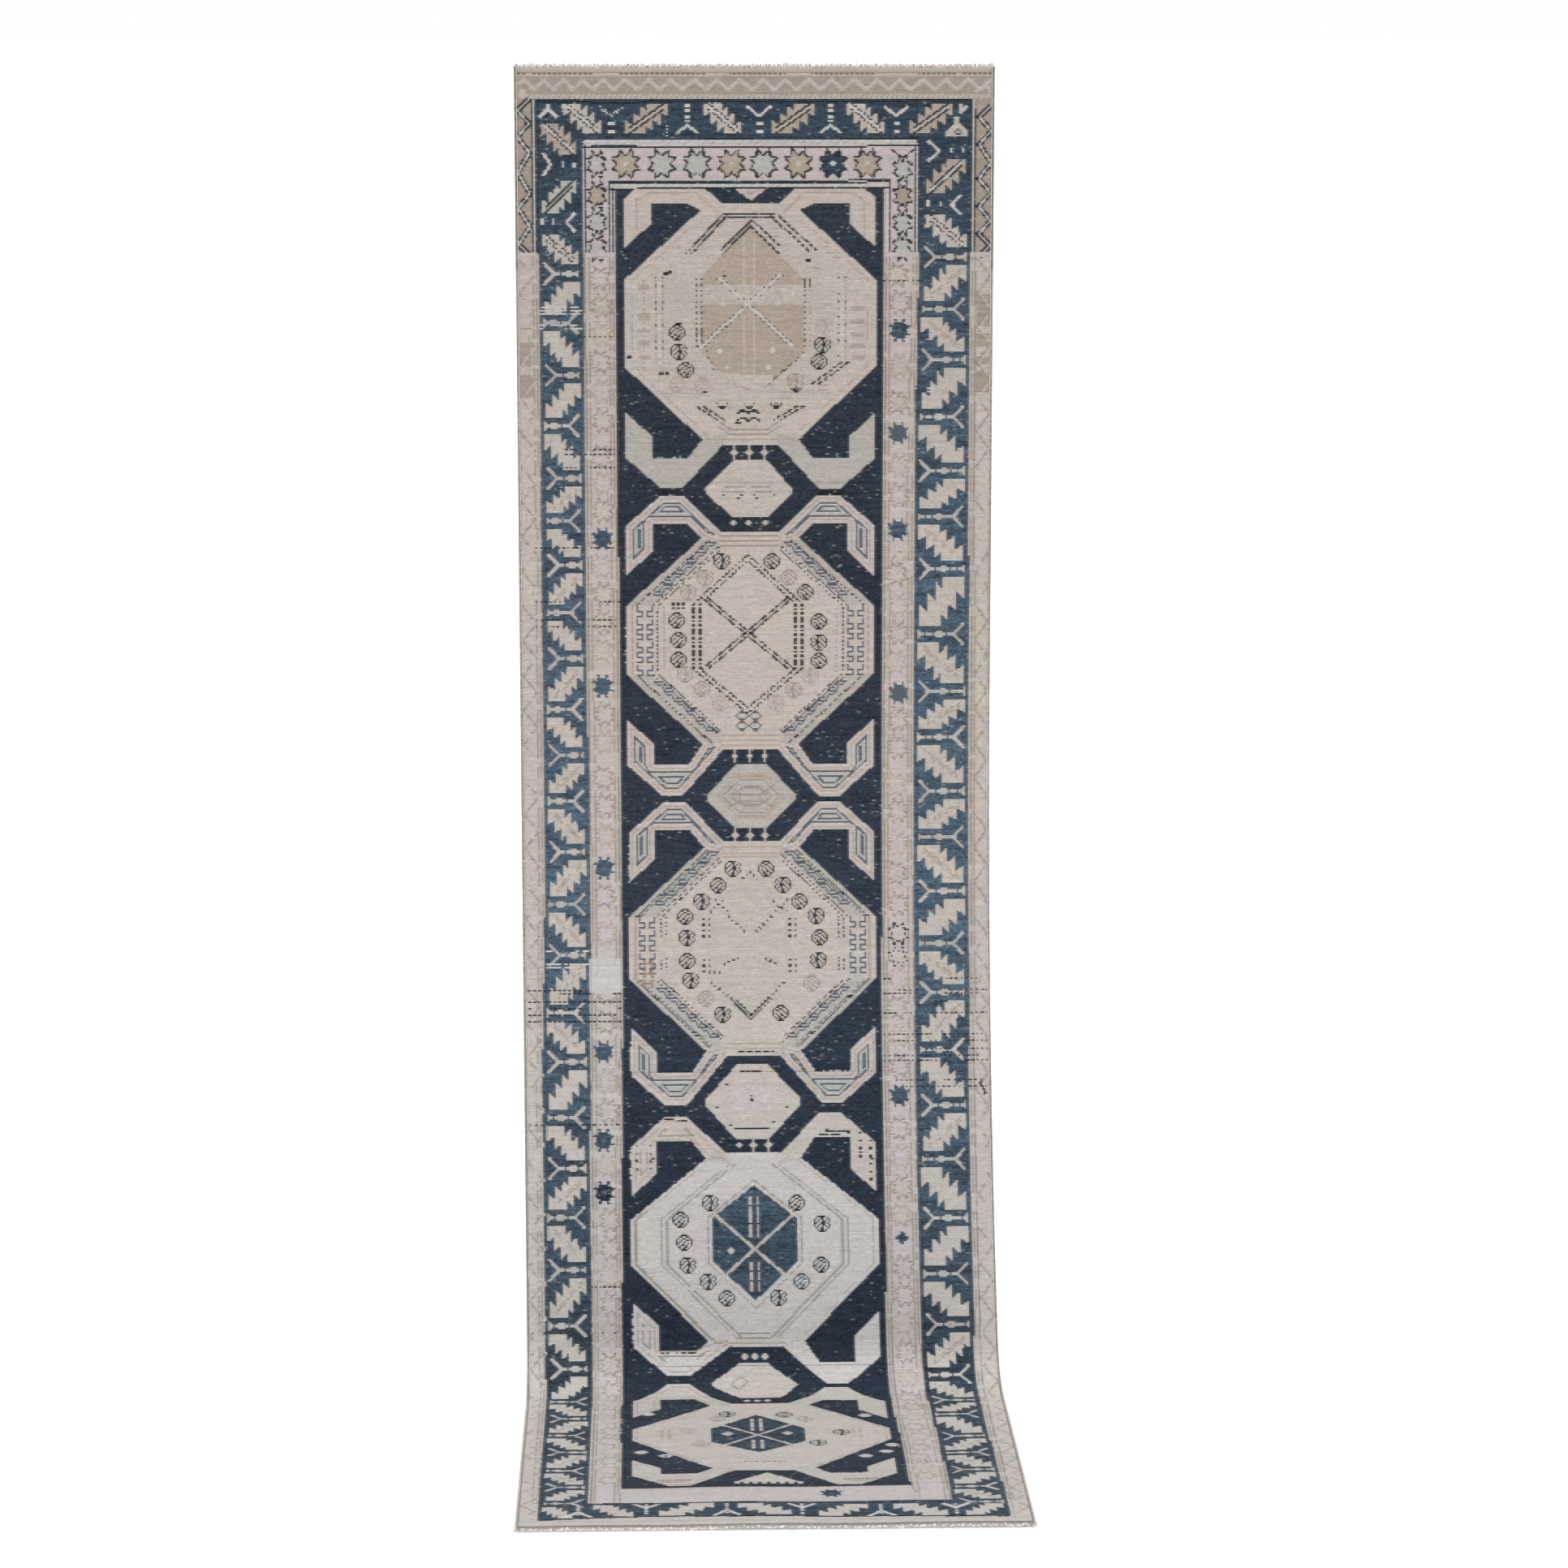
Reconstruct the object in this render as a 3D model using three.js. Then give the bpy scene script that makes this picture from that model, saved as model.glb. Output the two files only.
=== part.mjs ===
// A hand-knotted runner rug, hung by its upper edge in front of a wall, with its lower end swept
// forward onto the floor. Millimetres, +Z up. The origin is the middle of the hanging edge on the
// back face, the wall is behind y = 0, and the pile faces -Y and then up.
//
// Every piece is first drawn on the flat rug: x across the weave, s along it from the hanging edge,
// and h through it from the back face. onPath() then bends the flat rug down the wall and along
// the floor. Pieces that touch keep a small gap.

import * as THREE from 'three';

// ---- driving dimensions ------------------------------------------------------------------------

const WIDTH = 900; // selvedge to selvedge at the hanging edge
const LENGTH = 3350; // from the upper twined edge to the lower one, along the weave
const FLARE = 33; // how much wider the rug has grown at its lower end, all to the right
const FLARE_START = 1150; // where along the rug that growth begins
const HANGING_HEIGHT = 2568; // hanging edge above the floor
const BEND_RADIUS = 100; // of the back face, where the rug turns from the wall to the floor

const WEB_THICKNESS = 2.4; // warps and wefts that carry the knots
const PILE_HEIGHT = 3.0; // worn pile above the web
const GAP = 0.3; // between pieces that touch

const SELVEDGE_DIAMETER = 5.2; // overcast edge, with its core inside
const SELVEDGE_WALL = 1.0; // overcast wool around the core
const TWINE_DIAMETER = 2.6; // twined cord that locks the last weft at each end
const FLATWEAVE = { top: 9, bottom: 6 }; // plain web between the twined cord and the pile
const FRINGE = { top: 5, bottom: 15 }; // length of the cut warp ends
const FRINGE_PITCH = 15; // from one bunch of warp ends to the next
const FRINGE_THICKNESS = 1.6;

// Widths of the three pile borders, which differ from side to side as a hand-woven rug's do
const GUARD_BORDER = { left: 38, right: 32, top: 52, bottom: 28 };
const LEAF_BORDER = { left: 86, right: 105, top: 84, bottom: 98 };
const STAR_BORDER = { left: 58, right: 62, top: 92, bottom: 96 };

// ---- the rug's path ----------------------------------------------------------------------------

const BEND_START = HANGING_HEIGHT - BEND_RADIUS;
const BEND_END = BEND_START + BEND_RADIUS * Math.PI / 2;
const WALL_STEPS = 16; // facets down the wall, which follow the flare
const BEND_STEPS = 14;

// Places along the rug where every long piece has a row of vertices
const STATIONS = [
  ...Array.from({ length: WALL_STEPS }, (_, i) => BEND_START * i / WALL_STEPS),
  ...Array.from({ length: BEND_STEPS + 1 }, (_, i) => BEND_START + (BEND_END - BEND_START) * i / BEND_STEPS),
];

function flareAt(s) {
  const t = THREE.MathUtils.clamp((s - FLARE_START) / (BEND_END - FLARE_START), 0, 1);
  return FLARE * t * t;
}

// The flat rug's point (x, s, h) on the hung rug; the left edge stays straight
function onPath(x, s, h) {
  const across = x + flareAt(s) * (x + WIDTH / 2) / WIDTH;
  if (s <= BEND_START) return [across, -h, -s];
  if (s >= BEND_END) return [across, -BEND_RADIUS - (s - BEND_END), h - HANGING_HEIGHT];
  const turn = (s - BEND_START) / BEND_RADIUS;
  const radius = BEND_RADIUS - h;
  return [across, radius * Math.cos(turn) - BEND_RADIUS, -BEND_START - radius * Math.sin(turn)];
}

// ---- makers ------------------------------------------------------------------------------------

const rug = new THREE.Group();

// Adds a geometry drawn as the flat rug hung up: x across, y = -s, z = h
function lay(name, material, geometry) {
  const points = geometry.attributes.position;
  for (let i = 0; i < points.count; i++) {
    points.setXYZ(i, ...onPath(points.getX(i), -points.getY(i), points.getZ(i)));
  }
  const mesh = new THREE.Mesh(geometry, material);
  mesh.name = name;
  rug.add(mesh);
}

// A piece of constant section, drawn in (x, h), that runs along the rug from s0 to s1
function runAlong(name, material, section, s0, s1) {
  const stops = [s0, ...STATIONS.filter((s) => s > s0 + GAP && s < s1 - GAP), s1];
  const steps = stops.length - 1;
  const run = new THREE.ExtrudeGeometry(section, { depth: steps, steps, bevelEnabled: false, curveSegments: 6 });
  run.rotateX(Math.PI / 2);
  const points = run.attributes.position;
  for (let i = 0; i < points.count; i++) points.setY(i, -stops[Math.round(-points.getY(i))]);
  lay(name, material, run);
}

function rectangle(x0, x1, h0, h1) {
  return new THREE.Shape([[x0, h0], [x1, h0], [x1, h1], [x0, h1]].map(([x, h]) => new THREE.Vector2(x, h)));
}

function disc(x, h, radius) {
  return new THREE.Shape().absarc(x, h, radius, 0, 2 * Math.PI);
}

// Four bands of pile around a rectangle of the rug; gives back the rectangle left inside them
function pileBorder(name, material, area, widths) {
  const inner = {
    left: area.left + widths.left + GAP,
    right: area.right - widths.right - GAP,
    top: area.top + widths.top + GAP,
    bottom: area.bottom - widths.bottom - GAP,
  };
  const band = (side, x0, x1, s0, s1) =>
    runAlong(`${name}_${side}`, material, rectangle(x0, x1, PILE_BASE, PILE_TOP), s0, s1);
  band('top', area.left, area.right, area.top, area.top + widths.top);
  band('left', area.left, area.left + widths.left, inner.top, inner.bottom);
  band('right', area.right - widths.right, area.right, inner.top, inner.bottom);
  band('bottom', area.left, area.right, area.bottom - widths.bottom, area.bottom);
  return inner;
}

// ---- materials ---------------------------------------------------------------------------------

function wool(color) {
  return new THREE.MeshStandardMaterial({ color, roughness: 0.95, metalness: 0 });
}

const WARP_COTTON = wool(0xd8d0c2);
const NAVY_WOOL = wool(0x2b3646);
const ROSE_WOOL = wool(0xcbbfbb);
const BLUE_WOOL = wool(0x47617a);
const SAND_WOOL = wool(0xc2b4a2);
const SELVEDGE_WOOL = wool(0xcfc4b6);

// ---- the rug -----------------------------------------------------------------------------------

const PILE_BASE = WEB_THICKNESS + GAP;
const PILE_TOP = PILE_BASE + PILE_HEIGHT;
const TWINE_RADIUS = TWINE_DIAMETER / 2;

// The web lies between the two selvedges and the two twined cords
const WEB = {
  left: -WIDTH / 2 + SELVEDGE_DIAMETER + GAP,
  right: WIDTH / 2 - SELVEDGE_DIAMETER - GAP,
  top: TWINE_DIAMETER + GAP,
  bottom: LENGTH - TWINE_DIAMETER - GAP,
};
const webSection = rectangle(WEB.left, WEB.right, 0, WEB_THICKNESS);

// The part of the web that carries knots, and the plain strip left at each end
const KNOTTED = {
  ...WEB,
  top: WEB.top + FLATWEAVE.top + GAP,
  bottom: WEB.bottom - FLATWEAVE.bottom - GAP,
};
runAlong('foundation_weave', WARP_COTTON, webSection, KNOTTED.top, KNOTTED.bottom);
runAlong('flatweave_end_top', WARP_COTTON, webSection, WEB.top, WEB.top + FLATWEAVE.top);
runAlong('flatweave_end_bottom', WARP_COTTON, webSection, WEB.bottom - FLATWEAVE.bottom, WEB.bottom);

// Pile: three borders, one inside the other, around the field
const insideGuard = pileBorder('guard_border', SAND_WOOL, KNOTTED, GUARD_BORDER);
const insideLeaf = pileBorder('leaf_border', BLUE_WOOL, insideGuard, LEAF_BORDER);
const field = pileBorder('star_border', ROSE_WOOL, insideLeaf, STAR_BORDER);
const fieldSection = rectangle(field.left, field.right, PILE_BASE, PILE_TOP);
runAlong('field_pile', NAVY_WOOL, fieldSection, field.top, field.bottom);

// Selvedges: a bundle of warps along each side, overcast with wool
for (const [side, sign] of [['left', -1], ['right', 1]]) {
  const radius = SELVEDGE_DIAMETER / 2;
  const x = sign * (WIDTH / 2 - radius);
  const overcast = disc(x, radius, radius);
  overcast.holes.push(disc(x, radius, radius - SELVEDGE_WALL));
  const core = disc(x, radius, radius - SELVEDGE_WALL - GAP);
  runAlong(`selvedge_overcast_${side}`, SELVEDGE_WOOL, overcast, WEB.top, WEB.bottom);
  runAlong(`selvedge_core_${side}`, WARP_COTTON, core, WEB.top, WEB.bottom);
}

// A twined cord across each end, and beyond it the cut warp ends in bunches
function twinedEdge(name, s) {
  const cord = new THREE.CylinderGeometry(TWINE_RADIUS, TWINE_RADIUS, WIDTH, 10);
  cord.rotateZ(Math.PI / 2);
  cord.translate(0, -s, TWINE_RADIUS);
  lay(name, WARP_COTTON, cord);
}

function fringe(name, edge, outward, length) {
  const bunches = Math.floor(WIDTH / FRINGE_PITCH);
  const pitch = WIDTH / bunches;
  const spine = length * 0.25; // where one bunch parts from the next
  const at = (x, reach) => new THREE.Vector2(x, -(edge + outward * reach));
  const outline = [at(-WIDTH / 2, 0)];
  for (let i = 0; i < bunches; i++) {
    const x = -WIDTH / 2 + i * pitch;
    const reach = length * (0.86 + 0.14 * Math.sin(2.4 * i)); // ends cut unevenly
    outline.push(at(x + 0.04 * pitch, spine), at(x + 0.22 * pitch, reach));
    outline.push(at(x + 0.70 * pitch, reach), at(x + 0.88 * pitch, spine));
  }
  outline.push(at(WIDTH / 2, spine), at(WIDTH / 2, 0));
  const ends = new THREE.ExtrudeGeometry(new THREE.Shape(outline), { depth: FRINGE_THICKNESS, bevelEnabled: false });
  ends.translate(0, 0, GAP);
  lay(name, WARP_COTTON, ends);
}

twinedEdge('twined_edge_top', TWINE_RADIUS);
twinedEdge('twined_edge_bottom', LENGTH - TWINE_RADIUS);
fringe('fringe_top', -GAP, -1, FRINGE.top);
fringe('fringe_bottom', LENGTH + GAP, 1, FRINGE.bottom);

export default rug;
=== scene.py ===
# %% [markdown]
# # A hand-knotted runner rug
#
# This lesson makes a long village runner, hung from its upper edge with the lower end swept out
# onto the floor. A knotted rug is a drawing made of knots, so the script works as a weaver does:
# it draws a chart with one square for each knot, dyes the wool, ties every knot as one small face
# of the pile, and then finishes the edges with overcast sides, twined cords and cut warp ends.
# The frame, the sizes and the hung shape come from the engineering model.

# %% The frame
import math

import bpy
import numpy as np
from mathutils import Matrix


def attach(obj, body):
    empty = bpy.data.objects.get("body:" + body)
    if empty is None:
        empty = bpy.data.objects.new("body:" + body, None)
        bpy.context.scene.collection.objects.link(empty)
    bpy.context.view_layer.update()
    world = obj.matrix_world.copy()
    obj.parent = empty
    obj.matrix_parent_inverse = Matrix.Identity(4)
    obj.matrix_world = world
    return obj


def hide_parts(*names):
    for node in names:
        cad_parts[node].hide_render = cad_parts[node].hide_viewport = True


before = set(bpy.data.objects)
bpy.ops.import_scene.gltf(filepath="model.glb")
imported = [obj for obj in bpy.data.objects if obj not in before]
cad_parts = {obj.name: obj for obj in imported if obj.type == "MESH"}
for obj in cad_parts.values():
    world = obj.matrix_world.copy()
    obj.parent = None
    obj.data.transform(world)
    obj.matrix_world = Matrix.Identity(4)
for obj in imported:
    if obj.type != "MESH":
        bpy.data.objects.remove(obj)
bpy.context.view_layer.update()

# %% [markdown]
# ## The knot chart
#
# The chart is an array with a row for each row of knots and a column for each knot across. Its
# numbers say which wool a knot is tied with. Everything on it is drawn with a few tools: a filled
# outline that also knows how deep inside it each knot lies, which gives stripes that follow the
# outline, a line, and a small motif written as rows of letters.

# %% The chart and the weaver's tools
ROWS, COLS = 1047, 282
(NAVY, BLUE, INK, SLATE, ROSE, BONE, ICE, SAND,
 BISQUE, TAN, UMBER, WHITE, RUST, SHELL, PEARL, BROWN) = range(16)
chart = np.full((ROWS, COLS), BISQUE, np.uint8)
ROW, COL = np.mgrid[0:ROWS, 0:COLS] + 0.5


def cloudy(seed, across, along):
    """Smooth random values from 0 to 1, in patches so many knots across and rows along."""
    coarse = np.random.default_rng(seed).random((int(ROWS / along) + 3, int(COLS / across) + 3))
    i, j = (ROW / along).astype(int), (COL / across).astype(int)
    down, right = ROW / along - i, COL / across - j
    down, right = down * down * (3 - 2 * down), right * right * (3 - 2 * right)
    upper = coarse[i, j] * (1 - right) + coarse[i, j + 1] * right
    lower = coarse[i + 1, j] * (1 - right) + coarse[i + 1, j + 1] * right
    return upper * (1 - down) + lower * down


def window(points, margin):
    """The part of the chart around some (column, row) points."""
    columns, rows = zip(*points)
    return (slice(max(int(min(rows) - margin), 0), max(int(max(rows) + margin) + 1, 0)),
            slice(max(int(min(columns) - margin), 0), max(int(max(columns) + margin) + 1, 0)))


class Shape:
    """A closed outline on the chart; depth is each knot's distance inside it."""

    def __init__(self, points):
        self.area = window(points, 2)
        c, r = COL[self.area], ROW[self.area]
        inside, near = np.zeros(c.shape, bool), np.full(c.shape, np.inf)
        for (c0, r0), (c1, r1) in zip(points, [*points[1:], points[0]]):
            run, fall = c1 - c0, r1 - r0
            if fall:
                inside ^= ((r0 > r) != (r1 > r)) & (c < c0 + (r - r0) * run / fall)
            t = np.clip(((c - c0) * run + (r - r0) * fall) / (run * run + fall * fall), 0, 1)
            near = np.minimum(near, np.hypot(c - c0 - t * run, r - r0 - t * fall))
        self.depth = np.where(inside, near, -near)

    def dye(self, wool, start=0.0, width=math.inf, where=None):
        """Ties the knots from start to start + width inside the outline."""
        knots = (self.depth > start) & (self.depth <= start + width)
        if where is not None:
            knots &= where[self.area]
        chart[self.area][knots] = wool


def line(points, wool, width=1.0, dash=None, where=None):
    """A line of knots through some points; dash is knots tied and knots skipped."""
    for (c0, r0), (c1, r1) in zip(points, points[1:]):
        area = window([(c0, r0), (c1, r1)], width)
        run, fall = c1 - c0, r1 - r0
        length = math.hypot(run, fall)
        c, r = COL[area] - c0, ROW[area] - r0
        along = (c * run + r * fall) / length
        aside = (c * fall - r * run) / length
        knots = (aside >= -width / 2) & (aside < width / 2) & (np.abs(along - length / 2) <= length / 2 + 0.3)
        if dash:
            knots &= along % sum(dash) < dash[0]
        if where is not None:
            knots &= where[area]
        chart[area][knots] = wool


def stamp(motif, c, r, wools, flip=False):
    """Ties a motif written as rows of letters, with its middle at (c, r); dots are skipped."""
    rows = motif.split()
    top, left = round(r - len(rows) / 2), round(c - len(rows[0]) / 2)
    for i, letters in enumerate(rows):
        for j, letter in enumerate(letters[::-1] if flip else letters):
            if letter in wools and 0 <= top + i < ROWS and 0 <= left + j < COLS:
                chart[top + i, left + j] = wools[letter]


def strip(left, right, top, bottom, wool):
    """A band of knots; left and right may change from row to row."""
    chart[(COL >= left) & (COL < right) & (ROW >= top) & (ROW < bottom)] = wool


def edge(*stops):
    """A border's edge, given as (row, column) stops, as one column for every row."""
    rows, columns = zip(*stops)
    return np.interp(ROW[:, 0], rows, columns)[:, None]


print("chart:", ROWS, "rows of", COLS, "knots")

# %% [markdown]
# ## Grounds
#
# Four grounds lie one inside the other: the sand guard, the blue leaf border, the rose star border
# and the navy field. A village weaver counts by eye, so the edges between them drift by a knot or
# two along the rug. The first hundred-odd rows come from a better stock of dark wool, which runs
# out all at once.

# %% Grounds of the borders and the field
NEW_WOOL = 114          # the row where the dark outlining wool runs out
LEAF_TOP, STAR_TOP, FIELD_TOP = 20, 47, 75
FIELD_END, STAR_END = 980, 1006
leaf_l0 = edge((0, 12.5), (114, 12.5), (115, 13.5), (300, 14.5), (520, 13.5), (600, 11.5), (750, 10.5),
               (830, 12), (1047, 12.5))
leaf_l1 = edge((0, 39.5), (300, 40), (520, 41), (600, 40), (750, 38.5), (1047, 39.5))
leaf_r0 = edge((0, 238), (115, 238), (250, 235.5), (600, 236.5), (750, 236), (830, 236.5), (900, 238),
               (1047, 240))
leaf_r1 = edge((0, 268), (250, 268), (400, 269.5), (600, 268.5), (750, 268), (830, 266.5), (1047, 269.5))
field_l = edge((0, 58.5), (300, 59.5), (520, 60.5), (600, 59.5), (700, 58), (830, 56.5), (900, 56.5),
               (1047, 58))
field_r = edge((0, 217), (400, 217.5), (600, 216), (750, 215.5), (830, 214.5), (900, 217), (1047, 218))
leaf_end = np.interp(COL[0], [12, 40, 80, 120, 160, 200, 240, 270],
                     [1034, 1031, 1028, 1030.5, 1031.5, 1032, 1035, 1034])

strip(0, COLS, 0, NEW_WOOL, SAND)
chart[(COL >= leaf_l0) & (COL < leaf_r1) & (ROW >= LEAF_TOP) & (ROW < leaf_end)] = BLUE
strip(leaf_l1, leaf_r0, STAR_TOP, STAR_END, ROSE)
strip(field_l, field_r, FIELD_TOP, FIELD_END, NAVY)
print("navy knots:", int((chart == NAVY).sum()))

# %% Thin stripes between the borders
patchy = cloudy(11, 9, 4)
for c, wool in ((10.5, INK), (11.5, WHITE), (12.5, INK), (40.5, WHITE), (41.5, INK), (55.5, INK),
                (56.5, WHITE), (57.5, INK), (218.5, WHITE), (219.5, WHITE), (220.5, INK), (235.5, INK),
                (236.5, WHITE), (237.5, INK), (268.5, INK), (269.5, WHITE), (270.5, INK)):
    top = {10: 20, 11: 20, 12: 20, 268: 20, 269: 20, 270: 26, 40: 46, 41: 48, 235: 48, 236: 46,
           237: 46}.get(int(c), 71)
    strip(c - 0.5, c + 0.5, top, NEW_WOOL, wool)
for side, sign, columns in ((leaf_l0, -1, (1.2, 3.4)), (leaf_l1, 1, (1.2, 3.6)), (field_l, -1, (1.4, 3.6)),
                            (field_r, 1, (1.4, 3.6)), (leaf_r0, -1, (1.2, 3.6)), (leaf_r1, 1, (1.2, 3.4))):
    strip(side - 4.4 if sign < 0 else side, side if sign < 0 else side + 4.4, NEW_WOOL, STAR_END, BONE)
    for away in columns:
        c = side + sign * away
        chart[(COL >= c - 0.5) & (COL < c + 0.5) & (ROW >= NEW_WOOL) & (ROW < STAR_END)
              & (patchy > 0.3)] = UMBER
for top, wool in ((20, BLUE), (21, INK), (44.3, INK), (47, BLUE), (48.6, INK), (69.4, BLUE), (70.6, INK),
                  (74, INK)):
    sway = np.interp(COL[0], [0, 60, 120, 180, 240, 282], [0.2, 0.6, 0.1, 0.4, -0.7, -0.4])
    left, right = (40, 237) if top > 44 else (12, 268)
    left, right = (55.5, 221) if top > 69 else (left, right)
    chart[(COL >= left) & (COL < right) & (ROW - sway >= top) & (ROW - sway < top + 1)] = wool


def barber(top, left, right):
    """A stripe of slanting white stitches, three rows deep."""
    area = (COL > left) & (COL < right) & (ROW >= top) & (ROW < top + 2.6)
    chart[area] = WHITE
    chart[area & ((COL + 1.3 * ROW) % 5.2 < 1.5)] = ICE


barber(45.2, 40.5, 236.5)
barber(71.6, 57, 219)

# %% [markdown]
# ## The outer guard
#
# A single zigzag runs all the way round. Across the upper end it is bone on sand. Down the sides it
# starts in black, white and black, and after the dark wool runs out it is a faint pair of threads.

# %% Guard zigzags
THREAD = 1.3            # knots from one line of a zigzag to the next


def zigzag(corners, wools):
    """A zigzag of parallel lines, laid side by side across the band."""
    for k, wool in enumerate(wools):
        shift = (k - (len(wools) - 1) / 2) * THREAD
        line([(c + shift, r) for c, r in corners], wool, 1.15)


peaks = [6 + 11.5 * min(i, 4) + 13.4 * max(i - 4, 0) for i in range(22)]
ends = []
for left, right in zip(peaks, peaks[1:]):
    ends += [(left, 8), ((left + right) / 2, 14.4)]
strip(0, COLS, 0, 6, BONE)
strip(0, COLS, 16.6, LEAF_TOP, BONE)
line([(1, 12), *ends, (peaks[-1], 8)], BONE, 2.2)
for c in range(2, COLS, 3):
    line([(c, 4.5), (c + 1.6, 4.5)], BROWN, 0.9, where=patchy > 0.2)
    line([(c, 19.6), (c + 1.4, 17.6)], SAND, 0.9)
strip(3.5, 7, 14, LEAF_TOP, BONE)
line([(270.5, 16), (277, 10), (279, 16)], BONE, 1.6)

left_turns = [20, 27, 35, 43, 53, 65, 78, 87, 98, 109, 116]
right_turns = [24, 31, 40, 48, 59, 69, 78, 86, 95, 103, 110, 117]
zigzag([(2 if i % 2 else 9, r) for i, r in enumerate(left_turns)], (INK, WHITE, INK))
zigzag([(273 if i % 2 else 280, r) for i, r in enumerate(right_turns)], (INK, WHITE, INK))
strip(0, 12.5, NEW_WOOL, NEW_WOOL + 1, SAND)
strip(0, COLS, NEW_WOOL, NEW_WOOL + 3, BISQUE)
strip(leaf_l0, leaf_l1, NEW_WOOL, NEW_WOOL + 3, BLUE)
strip(leaf_r0, leaf_r1, NEW_WOOL, NEW_WOOL + 3, BLUE)
strip(leaf_l1, leaf_r0, NEW_WOOL, NEW_WOOL + 3, ROSE)
strip(field_l, field_r, NEW_WOOL, NEW_WOOL + 3, NAVY)

half = 10.6             # rows from one turn of the faint zigzag to the next
turns = np.arange(NEW_WOOL + 4, 1030, half)
faint = cloudy(12, 6, 5) > 0.38
for low, high in ((2.0, 10.5), (272.5, 280.0)):
    corners = [(high if i % 2 else low, r) for i, r in enumerate(turns)]
    line([(c + 1.4, r) for c, r in corners], BONE, 1.0)
    line(corners, UMBER, 1.0, where=faint)
band_rows = (ROW > 124) & (ROW < 200) & (COL > 271) | (ROW > 160) & (ROW < 214) & (COL < 12.5)
chart[band_rows & (chart == BISQUE) & (cloudy(13, 40, 6) > 0.32)] = SAND
print("zigzag turns:", len(turns))

# %% [markdown]
# ## The leaf border
#
# Serrated leaves lean one way and then the other, with a forked twig between each two. The leaf is
# drawn once in a unit square. Its second half is the first turned half way round.

# %% Leaves and twigs
LEAF_HALF = [(0, 0), (0.48, 0), (0.48, 0.26), (0.63, 0.08), (0.64, 0.46), (0.81, 0.30), (0.82, 0.70),
             (1, 0.56)]
LEAF = LEAF_HALF + [(1 - x, 1 - y) for x, y in LEAF_HALF]


def leaf(left, top, right, bottom, wool, lean, rib=None):
    """A leaf in a rectangle of knots. lean 1 falls to the right, and -1 to the left."""
    def at(x, y):
        return (left + (x if lean > 0 else 1 - x) * (right - left), top + y * (bottom - top))
    Shape([at(x, y) for x, y in LEAF]).dye(wool)
    for k, thread in enumerate(rib or ()):
        shift = (k - (len(rib) - 1) / 2) * 1.7
        line([(c, r + shift) for c, r in (at(0.12, 0.1), at(0.9, 0.9))], thread, 1.25,
             dash=(1.5, 0.9) if lean > 0 and thread == INK else None)


def fork(c, r, reach, spread, wool, width=1.6, dash=None):
    """A V lying on its side or standing: arms run from (c, r) by reach, spread apart."""
    if isinstance(reach, tuple):
        across, down = reach
        line([(c - across, r + down), (c, r), (c + across, r + down)], wool, width, dash)
    else:
        line([(c + reach, r - spread), (c, r), (c + reach, r + spread)], wool, width, dash)


# Upper end: rows 22 to 41
for c in (28.5, 111, 195):
    leaf(c, 22.5, c + 22.5, 41.2, BONE, 1, (INK, WHITE, INK))
for c, wool in ((65, TAN), (151, TAN), (232, TAN)):
    leaf(c, 23, c + 25.5, 41.2, wool, -1, (INK, BONE, INK))
for c in (57, 143.5, 224):
    fork(c, 30.5, (7, -6), 0, WHITE, 1.7, (1, 0.9) if c < 60 else None)
    for r in (34.8, 40):
        line([(c - 1.2, r), (c + 1.8, r)], WHITE, 1.6)
for c in (101.5, 185.5):
    fork(c, 36, (6, 4.5), 0, WHITE)
    for r in (24, 27, 31, 33.5):
        line([(c - 1, r), (c + 1, r)], WHITE, 1.2)
fork(20, 26, (5, 5), 0, WHITE)
line([(20, 23), (20, 26)], WHITE, 1.2)
line([(90, 36), (90, 43)], WHITE, 1.0, (1, 1))
Shape([(258, 31), (260.5, 31), (261, 34), (266, 39), (265.5, 43.5), (253, 43.5), (253, 41),
       (258, 35.5)]).dye(BONE)
stamp("..x.. .x.x. x...x .xxx.", 260.5, 39.8, {"x": INK})
line([(262, 23.5), (262, 28.5), (265.5, 24)], BONE, 2.0)

# Upper corners: rows 34 to 114
leaf(15.5, 34.5, 36.5, 54, TAN, 1, (INK, WHITE, INK))
leaf(16, 70, 36.5, 90, ICE, -1, (INK, ICE, INK))
leaf(15.5, 103, 37, 121, BONE, 1, (INK, BONE, INK))
leaf(242, 57, 265.5, 78.5, TAN, -1, (INK, WHITE, INK))
leaf(241.5, 91, 266, 111.5, BONE, 1, (INK, BONE, INK))
fork(21.5, 60, -5, 7, WHITE)
fork(249.5, 52, -6.5, 6, WHITE)
fork(30, 95.5, 5, 5.5, WHITE)
fork(257, 85, 5.5, 6, WHITE)
for c, r in ((28.5, 60), (35, 60.5), (16, 95), (22.5, 95), (256.5, 51.5), (263.5, 51.5), (243, 84),
             (250.5, 84.5)):
    line([(c, r - 1.4), (c, r + 1.4)], WHITE, 1.8)


# %% The long sides of the leaf border
def twig(left, right, r, side, wool):
    """A fork with its stem and box; side -1 opens to the left edge and 1 to the right."""
    near, far = (left, right) if side < 0 else (right, left)
    apex = near - side * 7.5
    fork(apex, r, side * 6, 6.5, wool, 1.8)
    line([(apex, r), (far + side * 2, r)], wool, 1.1, (3.5, 0.8))
    line([(near - side * 14.5, r), (near - side * 17.5, r)], wool, 3.2)
    Shape([(far + side * 0.6, r - 3), (far + side * 3.4, r), (far + side * 0.6, r + 3)]).dye(wool)


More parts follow.
